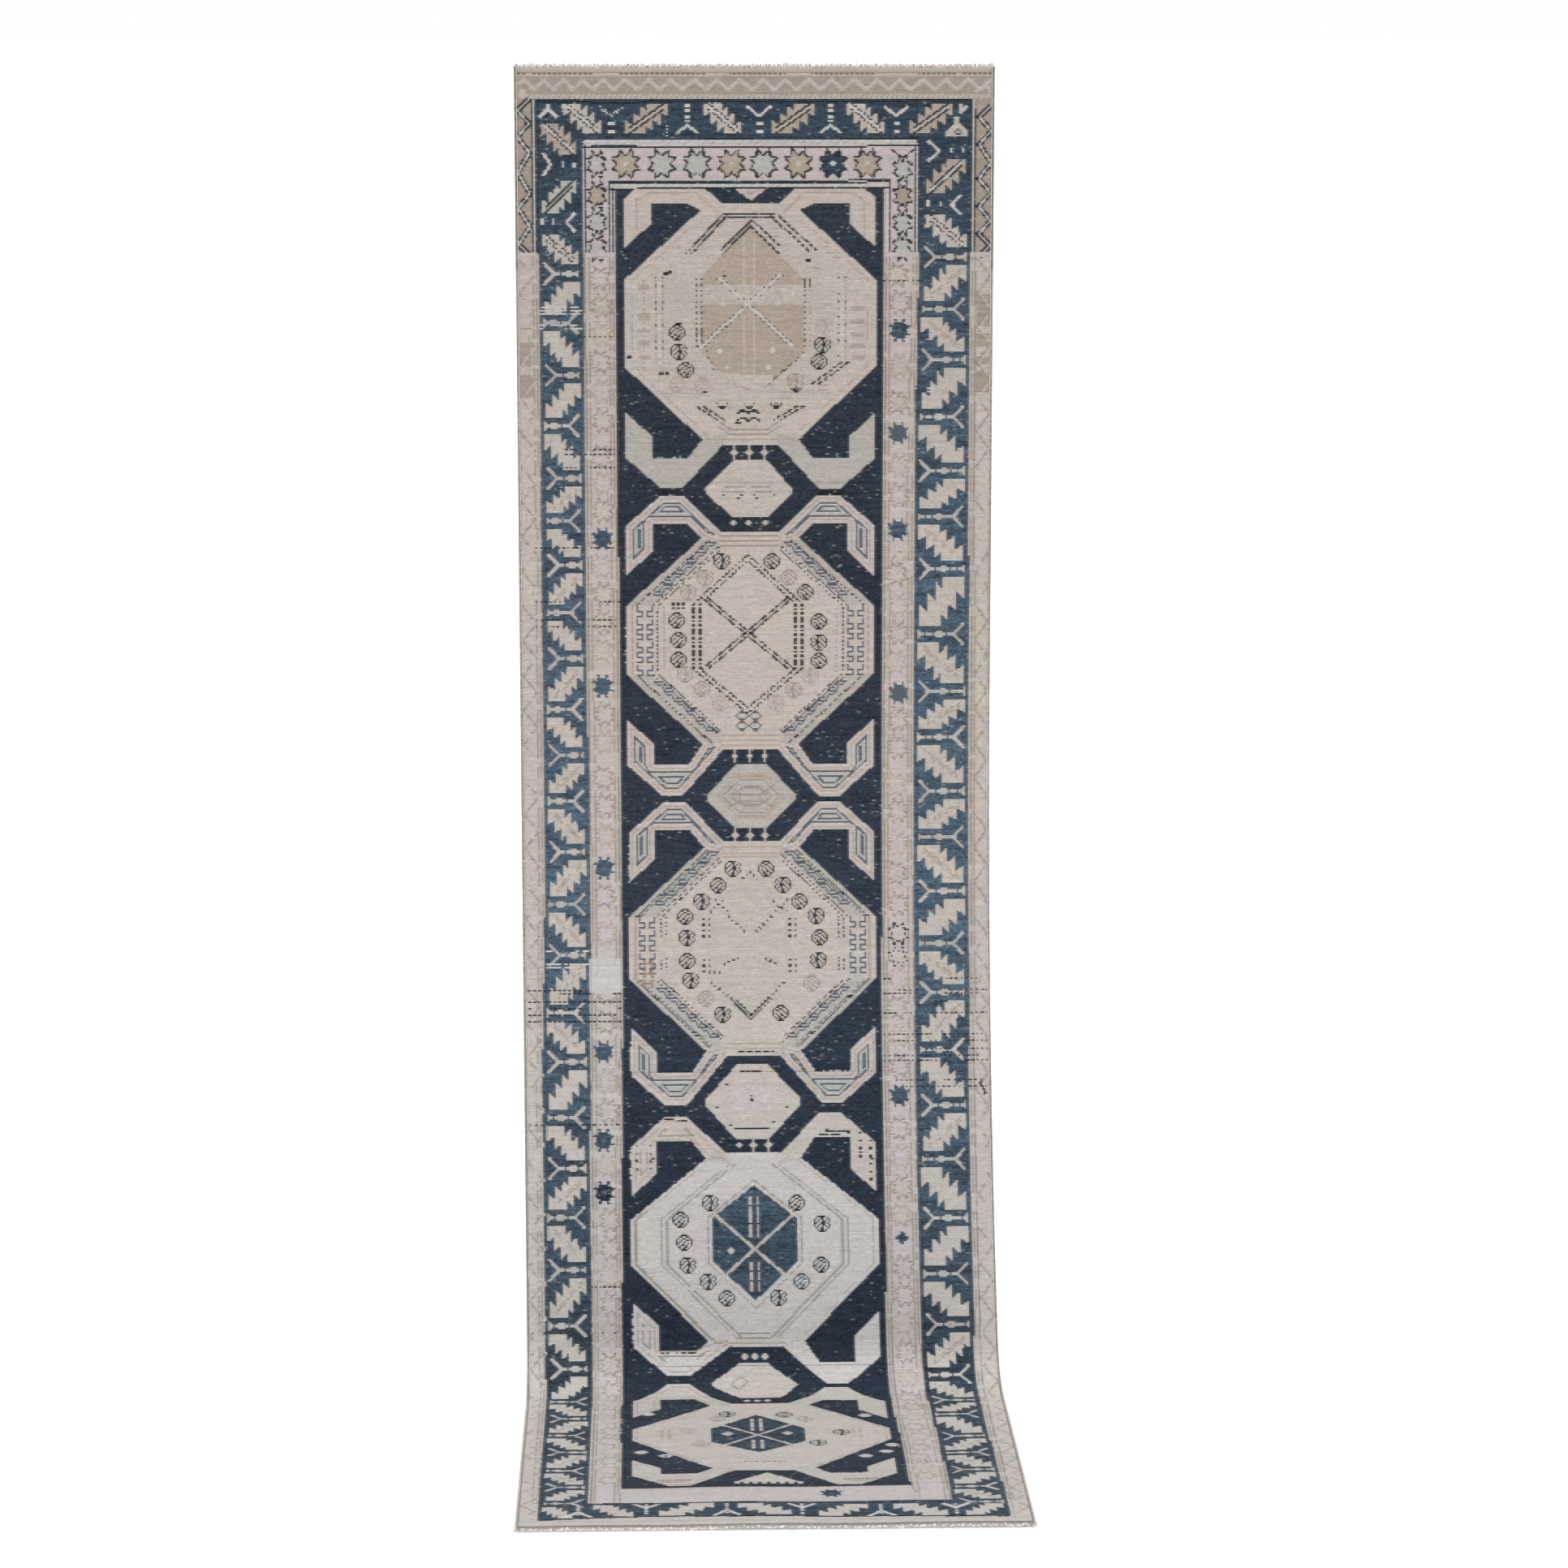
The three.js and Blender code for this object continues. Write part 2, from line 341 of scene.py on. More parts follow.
def climbing_border(left, right, rows, first_side, seed):
    """Twigs at the given rows, opening to alternate sides, with a leaf between each two."""
    rng = np.random.default_rng(seed)
    for i, (r, below) in enumerate(zip(rows, rows[1:])):
        side = first_side * (-1) ** i
        lo, hi = float(left[int(r) + 8, 0]) + 2.2, float(right[int(r) + 8, 0]) - 2.2
        wool = (BONE, BONE, BONE, BISQUE)[rng.integers(4)]     # one leaf in four is a little warmer
        ribbed = rng.random() < 0.45
        inner_lo, inner_hi = (lo + 1, hi) if side < 0 else (lo, hi - 1)
        leaf(inner_lo, r + 5.4, inner_hi, below - 5.2, wool, side)
        if ribbed:
            c0, c1 = (inner_lo + 4, inner_hi - 3) if side > 0 else (inner_hi - 3, inner_lo + 4)
            for shift in (-0.9, 0.9):
                line([(c0, r + 8 + shift), (c1, below - 8 + shift)], UMBER, 0.8, (1, 0.6))
    for i, r in enumerate(rows):
        lo, hi = float(left[int(r), 0]) + 1.8, float(right[int(r), 0]) - 1.8
        twig(lo, hi, r, first_side * (-1) ** i, PEARL if i % 3 else BONE)


left_twigs = [127, 157, 189, 220, 252, 278, 305, 334, 362, 393, 421, 449, 480, 512, 543, 578, 608, 642, 673,
              703, 735, 769, 796, 826, 857, 887, 916, 949, 978, 1006]
right_twigs = [117, 149, 180, 215, 248, 276, 308, 348, 383, 411, 444, 472, 505, 537, 567, 602, 636, 669, 705,
               739, 770, 802, 828, 854, 893, 922, 953, 983, 1010]
climbing_border(leaf_l0, leaf_l1, left_twigs, -1, 21)
climbing_border(leaf_r0, leaf_r1, right_twigs, -1, 22)

# Lower end: rows 1008 to 1031
for left, right, lean in ((14, 31, 1), (42, 64, 1), (78, 108, -1), (121, 150, 1), (165, 192, -1),
                          (206, 235, 1), (245, 266, -1)):
    drop = float(np.interp((left + right) / 2, [12, 80, 160, 240, 270], [1033, 1027, 1030.5, 1033.5, 1033]))
    leaf(left, drop - 20.5, right, drop - 1, BONE if lean > 0 else BISQUE, lean)
for c, up in ((34, -1), (71, 1), (115, -1), (156, 1), (199, -1), (240, 1)):
    middle = float(np.interp(c, [12, 80, 160, 240, 270], [1020, 1016, 1019.5, 1022, 1022]))
    fork(c, middle + up * -2.5, (7, -7 if up > 0 else 8), 0, WHITE, 2.2)
    line([(c, middle - 9), (c, middle + 9)], WHITE, 1.8, (2.2, 1.4))
line([(40, 1006.3), (100, 1005.5), (160, 1006.8), (238, 1009)], INK, 1.4)
line([(13, 1033.5), (40, 1030.8), (80, 1027.8), (120, 1030), (200, 1031.6), (268, 1034)], INK, 1.5)
print("twigs:", len(left_twigs) + len(right_twigs))

# %% [markdown]
# ## The star border
#
# Eight-pointed stars stand a hand apart on the rose ground. Each is a fill with an outline of black
# wool. Below the change of wool the outlines are only a shade darker than the ground, and a few
# stars are blue.

# %% Stars
STAR = [(-0.46, -1), (0, -0.56), (0.46, -1), (0.5, -0.5), (1, -0.44), (0.62, 0), (1, 0.4), (0.5, 0.5),
        (0.46, 1), (0, 0.58), (-0.46, 1), (-0.5, 0.5), (-1, 0.4), (-0.62, 0), (-1, -0.44), (-0.5, -0.5)]


def star(c, r, wide, tall, fill, outline, dash, heart=None):
    """A star with its middle at (c, r)."""
    corners = [(c + x * wide, r + y * tall) for x, y in STAR]
    if fill is not None:
        Shape(corners).dye(fill)
    line(corners + corners[:1], outline, 1.25, dash)
    if heart is not None:
        Shape([(c, r - 2), (c + 1.8, r), (c, r + 2), (c - 1.8, r)]).dye(heart)


for c, fill, heart in ((65.2, TAN, WHITE), (86.5, ICE, None), (107, ICE, None), (127.3, TAN, BONE),
                       (146, ICE, None), (166.8, TAN, WHITE), (187, BLUE, WHITE), (207, TAN, BONE)):
    star(c, 59.8, 8.3, 9, fill, INK, (4, 0.7), heart)
for c, rows, wools in ((48.3, (60, 79, 95.5, 111), (ICE, TAN, ICE, ICE)),
                       (228, (63, 79.5, 96, 111), (ICE, SAND, ICE, ICE))):
    for r, wool in zip(rows, wools):
        star(c, r, 5.6, 8.4, wool, INK, (2.2, 0.8))
line([(221, 51), (228, 56), (235, 51)], INK, 1.1)
strip(42, 56, NEW_WOOL, NEW_WOOL + 3, ROSE)
strip(221.5, 235, NEW_WOOL, NEW_WOOL + 3, ROSE)

# %% Stars after the dark wool runs out
star_rows_left = (130, 147, 164, 181, 199, 217, 239, 255.5, 272, 306, 323, 340, 357, 396, 413, 435, 452, 470,
                  507, 530, 566, 584, 620, 638, 672, 705, 722, 739, 756, 773, 794, 812, 829, 846, 862, 880,
                  897, 914, 931, 948, 965)
star_rows_right = (128, 145, 184, 206, 245, 263, 311, 330, 347, 365, 400, 417, 440, 456, 476, 494, 513, 558,
                   576, 594, 612, 650, 668, 686, 703, 735, 752, 769, 787, 804, 822, 840, 858, 876, 893, 911,
                   929, 946, 963)
pale = cloudy(14, 14, 20)
for c, rows in ((50, star_rows_left), (226, star_rows_right)):
    for i, r in enumerate(rows):
        shade = (BONE, BISQUE, None, BISQUE)[int(pale[int(r), int(c)] * 8) % 4]
        star(c + (0.8 if i % 3 else -0.5), r, 6.2, 7.2, shade, UMBER if (i * 7) % 5 < 3 else TAN, (2.6, 0.7))
BLUE_STARS = ((50, 289, BLUE), (49.5, 379, BLUE), (49.5, 490, BLUE), (48, 602, BLUE), (47.5, 656, BLUE),
              (47.5, 688, NAVY), (226.5, 162, BLUE), (226, 225, SLATE), (226, 284, BLUE), (227, 384, SLATE),
              (226, 630, BLUE), (173, 992, BLUE))
for c, r, wool in BLUE_STARS:
    star(c, r, 5.6, 6.6, wool, wool, (1.6, 0.8), SLATE)
star(226.5, 531, 6, 6.5, BISQUE, INK, (1.3, 0.8))
star(226.5, 545, 5.5, 6, None, INK, (1.0, 1.6))
for c, r in ((226.5, 206), (227, 301), (226, 717)):
    Shape([(c, r - 4), (c + 4, r), (c, r + 4), (c - 4, r)]).dye(BLUE if r > 700 else BONE)
    line([(c - 4, r), (c, r - 4), (c + 4, r), (c, r + 4), (c - 4, r)], SLATE if r > 700 else UMBER, 1.0,
         (1, 1))
print("stars below the change of wool:", len(star_rows_left) + len(star_rows_right) + len(BLUE_STARS) + 2)

# %% [markdown]
# ## The medallions
#
# Five great hexagons fill the field, each with two pairs of hooked arms. One outline serves them
# all, given by the rows of the flats and corners, and the arms follow from it. Between them lie
# four small hexagons.

# %% The outline of a medallion
HALF = 74.5             # knots from the middle of a medallion to its straight sides


def arm(middle, flat, rise, band, side, up):
    """One hooked arm; side is -1 or 1, and up is -1 for an upper arm or 1 for a lower one."""
    base, reach, tail = (17, 40, 49) if up < 0 else (16.5, 41, 46.5)
    shape = [(base, 0), (reach, rise), (53, rise), (74, rise - 18.8), (74, rise - tail),
             (58.4, rise - tail + 14.6), (58.4, rise - band), (37, rise - band), (28, -4.5), (14, -8)]
    return Shape([(middle + side * c, flat + up * r) for c, r in shape])


def body(middle, top, bottom, side_top, side_bottom):
    """The hexagon with flat ends; its slopes start under the roots of the arms."""
    return Shape([(middle - 17, top), (middle + 17, top), (middle + 29, top + 4), (middle + HALF, side_top),
                  (middle + HALF, side_bottom), (middle + 29, bottom - 4), (middle + 17, bottom),
                  (middle - 17, bottom), (middle - 29, bottom - 4), (middle - HALF, side_bottom),
                  (middle - HALF, side_top), (middle - 29, top + 4)])


def ring(points, wool, width=1.1, dash=None):
    """A closed line."""
    line(points + points[:1], wool, width, dash)


def inward(middle, top, bottom, side_top, side_bottom):
    """How far in from a medallion's outline each knot lies, counted along its row."""
    rows = (top - 1, top, top + 4, side_top, side_bottom, bottom - 4, bottom, bottom + 1)
    return np.interp(ROW, rows, (-99, 17, 29, HALF, HALF, 29, 17, -99)) - np.abs(COL - middle)


def rings(depth, plan, rows, dotted=1.0):
    """Lines that follow the outline, as (depth, wool); dotted is the share of their knots that is tied."""
    tied = (ROW + 0.2 * COL) % 2.5 < 2.5 * dotted
    for start, wool in plan:
        chart[(depth >= start) & (depth < start + 1.15) & rows & tied & field_area] = wool


field_area = (ROW > FIELD_TOP - 0.4) & (ROW < FIELD_END) & (COL > field_l) & (COL < field_r)
stretched = cloudy(15, 60, 3)

# For each: middle, top, bottom, side_top, side_bottom, rises (left, right), drops (left, right),
# bands (upper, lower), wools (body, upper arms, lower arms)
GREAT = [(138.3, 84, 232, 131, 184, (22, 22), (26.5, 27), (22.3, 19), (BISQUE, BISQUE, PEARL)),
         (138, 285, 418, 330.5, 371.5, (22.5, 22), (28, 29), (17.5, 19), (BISQUE, BONE, PEARL)),
         (138.5, 474, 605.5, 520.5, 558, (24, 24), (30, 28), (17.5, 19), (BISQUE, PEARL, BONE)),
         (137.5, 664, 783, 705, 732, (22, 24), (18.5, 25), (15, 15), (SHELL, BISQUE, SHELL)),
         (137, 832, 951, 878, 896, (25, 21), (26, 26.5), (16.5, 21), (BISQUE, BONE, BONE))]
for *outline, rises, drops, bands, wools in GREAT:
    body(*outline).dye(wools[0], where=field_area)
    middle, top, bottom = outline[:3]
    for side, rise, drop in zip((-1, 1), rises, drops):
        arm(middle, top, rise, bands[0], side, -1).dye(wools[1], where=field_area)
        arm(middle, bottom, drop, bands[1], side, 1).dye(wools[2], where=field_area)
OUTLINES = [great[:5] for great in GREAT]
strip(83, 98, 259, 262.6, INK)
strip(178, 193, 259, 262.6, INK)
print("medallions:", len(GREAT))


# %% Small motifs inside the medallions
ROSETTES = ("..xxxxx... .x..xx..x. x..x.x.x.x x.x..xx..x xx..xxx.x. "
            "x..x.xx..x x.x..x.x.x .x..xx..x. ..x.xx.x.. ...xxxx...",
            "...xxxx... ..xx..xx.. .x..xx..x. x..x..xx.x x.x..x...x "
            "xx..x..x.x x..xx.x..x .xx..xx.x. ..x.xx.x.. ...xxxx...")
LATTICE = "x........x x........x x........x xxxx..xxxx ...x..x... ...x..x... xxxx..xxxx"
ZED = "......xxxxxx .....x....x. ....x..xxx.. ...x..x..... .xxxx.x..... x....x...... xxxxxx......"


def rosette(c, r, wool, kind, flip=False):
    """A small hatched disc, ten knots across."""
    stamp(ROSETTES[kind], c, r, {"x": wool}, flip)


def wave(c, r, wool):
    """A wavy line of two humps, fourteen knots across."""
    line([(c - 7, r + 1.2), (c - 4.2, r - 0.9), (c - 1.5, r - 0.6), (c, r + 0.8), (c + 1.5, r - 0.6),
          (c + 4.2, r - 0.9), (c + 7, r + 1.2)], wool, 1.3)


def small_diamond(c, r, wool, size=1.9):
    """A lozenge; size is knots from its middle to a corner."""
    Shape([(c, r - size), (c + size, r), (c, r + size), (c - size, r)]).dye(wool)


# %% [markdown]
# The uppermost medallion was woven with three stocks of sand wool, so its heart changes from tan to
# a pale band and back. Two white threads run down it, and a dotted cross lies over it.

# %% First medallion
first = inward(*OUTLINES[0])
rings(first, ((4.4, TAN), (6.2, ROSE)), (stretched > 0.45) & (ROW > 100))
Shape([(121, 92), (155, 92), (188, 122), (188, 190), (152, 225), (125, 225), (84, 186), (86, 124)]).dye(BONE)
Shape([(123, 93), (153, 93), (176, 116), (176, 128), (104, 128), (101, 116)]).dye(BONE)
heart = Shape([(138.5, 99), (156, 116), (170, 130), (170, 176), (149, 197), (130, 197), (109, 176),
               (109, 130), (121, 116)])
heart.dye(TAN)
heart.dye(BONE, where=(ROW > 134) & (ROW < 146) & (cloudy(16, 30, 2) > 0.12))
heart.dye(BISQUE, where=(ROW > 186) & (cloudy(17, 16, 2.5) < (ROW - 182) / 24))
for r in (90.2, 92.4):
    line([(122.5, r), (152.5, r)], INK, 1.3)
for shift in (-1.6, 1.6):
    line([(123 + shift, 91.5), (103 + shift, 114)], INK, 1.2, where=ROW < 110)
    line([(123 + shift, 91.5), (102 + shift, 115)], INK, 1.1, (2, 1.4))
    line([(152.5 + shift * 1.5, 91.5), (175 + shift * 1.5, 113)], INK, 1.3, (2.6, 1.0))
    line([(138.8, 96 + shift), (121, 114.5 + shift)], INK, 1.2)
    line([(138.8, 96 + shift * 1.4), (156, 113 + shift * 1.4)], INK, 1.3, (2.6, 0.9))
for c in (106.2, 109.2, 170.8, 173.6):
    line([(c, 130), (c, 172)], INK if c < 172 else UMBER, 1.0, (1.2, 2.2))
    line([(c, 160), (c, 166)] if c < 120 else [(c, 130), (c, 136)], INK, 1.0)
for c in (82.8, 86.8, 191, 194.8):
    line([(c, 129), (c, 182)], INK, 1.0, (1.2, 3.6), where=stretched > 0.3)
    line([(c, 131), (c, 182)], UMBER, 0.9, (1, 1))
for r in range(132, 182, 4):
    strip(84, 86, r, r + 2, WHITE)
    strip(192, 194, r, r + 2, WHITE)
for start, end in (((120, 130), (163, 171)), ((156, 128), (109, 172))):
    for shift in (-1.5, 1.5):
        line([(start[0] + shift, start[1]), (end[0] + shift, end[1])], INK, 0.9, (1.1, 2.4))
    line([start, end], WHITE, 1.5)
for c, top, bottom in ((134.6, 104, 135), (140.3, 104, 135), (134.6, 152, 192), (140.3, 152, 192)):
    line([(c, top), (c, bottom)], BONE, 1.5, (6, 0.5))
for c, r in ((116, 141), (122, 145.4), (154.3, 145), (163.3, 139), (120.3, 174.5), (151.5, 174),
             (124.5, 184.5), (148.8, 184.5)):
    small_diamond(c, r, WHITE)
for c, rows in ((75.2, (136, 154, 162.5, 170, 178.5)), (202, (149, 157, 165, 172, 179))):
    line([(c, rows[0] - 5), (c, rows[-1] + 10)], UMBER, 0.9, (1, 1.4))
    for r in rows:
        strip(c - 3.6, c + 3.6, r - (2.6 if r == 154 else 1.6), r + (2.4 if r == 154 else 1), TAN)
for c, r, wool, kind in ((95.5, 163.5, INK, 1), (96, 175.5, INK, 0), (100, 186.3, INK, 1),
                         (181.5, 170.8, INK, 0), (178.5, 181.5, INK, 1), (165.5, 193, UMBER, 0),
                         (182, 160, TAN, 0), (95, 195, TAN, 1), (110, 196, TAN, 1)):
    rosette(c, r, wool, kind)
for c, r in ((121.5, 208.5), (137, 208.5), (154, 207.5), (165.5, 198.2)):
    stamp("x..x..x x.x.x.x .xxxxx. ..xxx..", c, r, {"x": INK})
    stamp(".x.x.x. x.x.x.x ....... .......", c, r - 1, {"x": BONE})
for r in (211.8, 216.3):
    wave(137, r, INK)
line([(129, 218.8), (132.5, 218.8)], INK, 1.2)
line([(94.5, 157.3), (98, 157.3)], INK, 1.2)
line([(110, 199.7), (113, 199.7)], INK, 1.4)
for start, end in (((108.5, 208.5), (121.5, 217)), ((168.5, 208), (154, 216.5)), ((195, 181), (176.5, 195))):
    for shift in (-2, 2):
        line([(start[0] + shift, start[1]), (end[0] + shift, end[1])], INK, 1.2, (3.0, 1.0))
for points in ([(112, 174), (118, 188)], [(170, 175), (147, 197)], [(166, 180), (150, 193)]):
    line(points, INK, 0.9, (1.0, 3.0))
for r in (222.4, 225.5):
    line([(120, r - 4.5), (126, r), (148, r), (156, r - 5)], UMBER, 0.9)
line([(112, 228.8), (164, 228.8)], TAN, 0.9)
for c, r in ((91, 126), (88.5, 127), (123, 128.5), (172.5, 119), (66.5, 178), (85.5, 188), (89, 188)):
    line([(c - 0.8, r), (c + 0.8, r)], INK, 1.3)
sprig = np.random.default_rng(31)
for _ in range(26):
    c, r = sprig.uniform(84, 192), sprig.choice([sprig.uniform(98, 126), sprig.uniform(190, 206)])
    line([(c - 3, r), (c + sprig.uniform(1, 5), r + sprig.uniform(-1, 1))], TAN, 0.9,
         where=(chart == BONE) | (chart == BISQUE))
for side in (-1, 1):
    line([(138.3 + side * 67, 118), (138.3 + side * 67, 82), (138.3 + side * 59, 77.5),
          (138.3 + side * 32, 77.5), (138.3 + side * 20, 89)], TAN, 1.0,
         where=(chart == BISQUE) & (stretched > 0.25))
Shape([(128.5, 74.5), (148.5, 74.5), (138.6, 82.3)]).dye(BONE)
Shape([(128.5, 74.5), (148.5, 74.5), (138.6, 82.3)]).dye(TAN, 2.0)


# %% [markdown]
# The second and third medallions are the finest. Their arms are built of many thin stripes, hooked
# scrolls climb their sides, and a dotted diamond with a cross fills the heart.

# %% Second and third medallions
def striped_arms(middle, top, bottom, rise, drop, plan):
    """Nested stripes on all four arms; plan lists (start, width, wool)."""
    for side in (-1, 1):
        for shape in (arm(middle, top, rise, 17.5, side, -1), arm(middle, bottom, drop, 19, side, 1)):
            for start, width, wool in plan:
                shape.dye(wool, start, width, where=field_area)


def hooked_sides(middle, top, bottom, side_top, side_bottom, wool):
    """Lattices down the straight sides and hooked scrolls along the slopes."""
    for side in (-1, 1):
        c = middle + side * (HALF - 11.2)
        for r in np.arange(side_top + 3.5, side_bottom, 7):
            stamp(LATTICE, c, r, {"x": wool})
        for start, end in (((c + side * 6, side_top - 5.5), (middle + side * 25, top + 9)),
                           ((c + side * 6, side_bottom + 3.5), (middle + side * 26, bottom - 14))):
            for t in np.linspace(0.16, 0.98, 5):
                away = -side * 12
                stamp(ZED, start[0] + away + (end[0] - start[0] - away) * t,
                      start[1] + (end[1] - start[1]) * t, {"x": wool}, (side > 0) == (end[1] < start[1]))


def dotted_diamond(middle, top, bottom, side_top, side_bottom, half_width, gap, dash):
    """The double dotted outline round the heart, and its cross."""
    for shift in (0, gap):
        wide = half_width - shift
        points = [(middle, top + 0.9 * shift), (middle + wide, side_top), (middle + wide, side_bottom),
                  (middle, bottom - 0.9 * shift), (middle - wide, side_bottom), (middle - wide, side_top)]
        ring(points, INK, 1.15, dash)
    for shift in (-1.7, 1.7):
        for side in (-1, 1):
            line([(middle - side * 26 + shift, side_top - 4), (middle + side * 26 + shift, side_bottom)], INK,
                 1.05, (5, 0.5) if shift < 0 else (3.4, 0.6))


STRIPES = ((0, 1.6, ROSE), (1.6, 1.0, TAN), (2.6, 1.6, BISQUE), (4.2, 1.0, SLATE), (5.2, 1.4, ICE),
           (6.6, 1.0, SLATE), (7.6, 9.0, ICE))
striped_arms(*OUTLINES[1][:3], 22.5, 28, STRIPES)
second = inward(*OUTLINES[1])
slopes = (np.abs(ROW - 351) > 20.5) & (ROW > 289) & (ROW < 414) & (np.abs(COL - 138) > 18)
chart[slopes & (second > 0) & (second < 15)] = PEARL
rings(second, ((3.2, TAN),), slopes)
rings(second, ((5.2, INK),), slopes, 0.65)
rings(second, ((3.6, UMBER),), ~slopes & (np.abs(ROW - 351) < 21), 0.8)
rings(second, ((15.4, INK), (18.4, INK)), slopes, 0.7)
rings(second, ((18.6, INK), (22.4, UMBER)), np.abs(ROW - 351) < 20, 0.55)
hooked_sides(*OUTLINES[1], SLATE)
for r in (287, 290, 293.5, 409, 412, 415.5):
    line([(120, r), (155, r)], UMBER if r < 300 else TAN)
dotted_diamond(136.5, 299, 396, 329, 369, 32.5, 4, (1.7, 0.9))
for c, r, wool, kind in ((121, 303, INK, 0), (151.5, 303, INK, 1), (111.5, 313, UMBER, 0),
                         (161, 313, UMBER, 1), (101.5, 322, UMBER, 0), (171, 322, INK, 1),
                         (94, 339.5, INK, 1), (178.5, 340, INK, 1), (95.5, 351.5, INK, 1),
                         (178.5, 353, INK, 0), (94.5, 363, INK, 1), (178.5, 364, INK, 1), (99, 372, UMBER, 0),
                         (174, 373, TAN, 0), (109.3, 381, UMBER, 1), (163.7, 382, UMBER, 0),
                         (120, 390, TAN, 1), (153, 390, TAN, 0)):
    rosette(c, r, wool, kind, c > 138)
for c in (133, 141):
    for r in (397.5, 403.5):
        ring([(c - 4, r), (c, r - 2.8), (c + 4, r), (c, r + 2.8)], SLATE, 1.0)
for r in (329, 331.5):
    line([(91.5, r), (98.5, r)], INK, 1.3, (1.5, 1.5))

third = inward(*OUTLINES[2])
slopes = (np.abs(ROW - 539) > 18.5) & (ROW > 479) & (ROW < 600) & (np.abs(COL - 138) > 18)
striped_arms(*OUTLINES[2][:3], 24, 28.5, STRIPES)
chart[slopes & (third > 0) & (third < 15)] = PEARL
rings(third, ((3.4, TAN),), slopes | (np.abs(ROW - 539) < 19))
rings(third, ((5.4, SLATE),), slopes, 0.7)
hooked_sides(*OUTLINES[2], SLATE)
for r in (477, 481, 483.5, 597, 600):
    line([(120, r), (156, r)], TAN)
rings(third, ((15.6, INK), (18.6, INK)), slopes, 0.62)
rings(third, ((3.4, INK),), slopes, 0.8)
rings(third, ((18.6, INK), (22.2, INK)), (np.abs(ROW - 526) < 7) | (np.abs(ROW - 549) < 4), 0.5)
heart = Shape([(137.5, 490), (163, 514), (163, 562), (137, 588), (111, 562), (111, 514)])
heart.dye(BONE)
for c in (109, 112.6, 161, 164.8):
    line([(c, 521), (c, 534)], INK, 1.05, (1.3, 2.2))
    line([(c, 546), (c, 555)], INK, 1.05, (1.3, 2.2))
for points in ([(133, 497), (137, 492.5), (141.5, 497.5)], [(113, 517), (121, 510)], [(116, 510), (125, 518)],
               [(151, 511), (161, 518)], [(160, 510), (151, 518)], [(124, 520), (135, 530)],
               [(150, 520), (141, 529)], [(121, 549.5), (129, 545)], [(146, 545.5), (154, 549.5)],
               [(112, 554), (121, 554)], [(113, 560), (128, 572)], [(157, 560), (149, 569)]):
    line(points, INK, 1.5, (1.1, 2.0))
for shift in (0, 2.8):
    line([(126 + shift, 571), (137, 583 - shift), (151 - shift, 569)], INK, 1.2, (2.2, 0.6))
for c, r, kind in ((127.5, 491.5, 0), (147.5, 491.5, 1), (118, 501, 1), (157, 501, 0), (108, 510.5, 0),
                   (166.5, 511, 1), (98, 520, 1), (177.5, 520, 0), (98.5, 533.5, 0), (178.5, 533.5, 1),
                   (98.5, 547.5, 1), (178, 547, 0), (101.5, 559.5, 0), (174, 561, 1), (110, 570, 1),
                   (120, 580, 0), (155, 578.5, 1)):
    faded = (108 < c < 112 and r > 560) or c == 174
    rosette(c, r, UMBER if faded else INK, kind, c > 138)
line([(129, 602.3), (151, 602.3)], INK, 1.3, (4, 1))


# %% [markdown]
# The two lowest medallions are plainer: broad pale bands round a blue hexagon with a bone cross.

# %% Fourth and fifth medallions
def inset_lines(middle, top, bottom, rise, drop, wool, start):
    """A thin line inside the two arms on the left, where it hasn't worn away."""
    for shape in (arm(middle, top, rise, 17, -1, -1), arm(middle, bottom, drop, 19, -1, 1)):
        shape.dye(wool, start, 0.95, where=field_area & (stretched > 0.2))


def blue_heart(middle, top, bottom, side_top, side_bottom, half_width, cross):
    """A blue hexagon with a cross, two bars above and two below."""
    Shape([(middle, top), (middle + half_width, side_top), (middle + half_width, side_bottom),
           (middle, bottom), (middle - half_width, side_bottom), (middle - half_width, side_top)]).dye(BLUE)
    for side in (-1, 1):
        line([(middle - side * 23, cross - 21), (middle + side * 23, cross + 20)], BONE, 1.8)
    for c in (middle - 2.6, middle + 2.2):
        line([(c, top + 7), (c, cross - 8)], BONE, 1.6, (5, 0.6))
        line([(c, cross + 8), (c, bottom - 6)], BONE, 1.6, (5, 0.6))


fourth = inward(*OUTLINES[3])
inset_lines(*OUTLINES[3][:3], 22, 18.5, TAN, 2.4)
inset_lines(*OUTLINES[3][:3], 22, 18.5, UMBER, 5.4)
rings(fourth, ((2.6, TAN),), stretched > 0.3)
rings(fourth, ((2.0, UMBER), (3.0, UMBER)), (COL < 138) & (ROW > 700))
for c, top, bottom in ((67.5, 659, 678), (75.5, 659, 674), (202, 652, 668), (208, 652, 682)):
    line([(c, top), (c, bottom)], INK, 1.8, (1.5, 3.2))
line([(181, 651), (196, 652)], INK, 1.3)
rings(fourth, ((17.6, UMBER), (21, UMBER), (21.8, TAN)), (ROW > 671) & (ROW < 777) & (stretched > 0.12))
ring([(137.5, 681), (165.5, 704), (165.5, 731.5), (137.5, 759.5), (109.5, 731.5), (109.5, 704)], UMBER, 1.1,
     (5, 0.8))
blue_heart(137.3, 684, 754.5, 704, 731, 25.3, 723.5)
for c, r, wool, kind in ((111, 694.5, INK, 0), (163.5, 694.5, INK, 1), (93, 705.5, INK, 1),
                         (178, 708, INK, 0), (94.5, 719, INK, 1), (97, 733, INK, 0), (176.5, 733, INK, 1),
                         (109.5, 743.5, NAVY, 0), (165, 743, BLUE, 1), (120, 753.5, NAVY, 1),
                         (151, 753, NAVY, 0)):
    rosette(c, r, wool, kind)
stamp(".xx. xxxx xxxx .xx.", 123, 724, {"x": BONE})
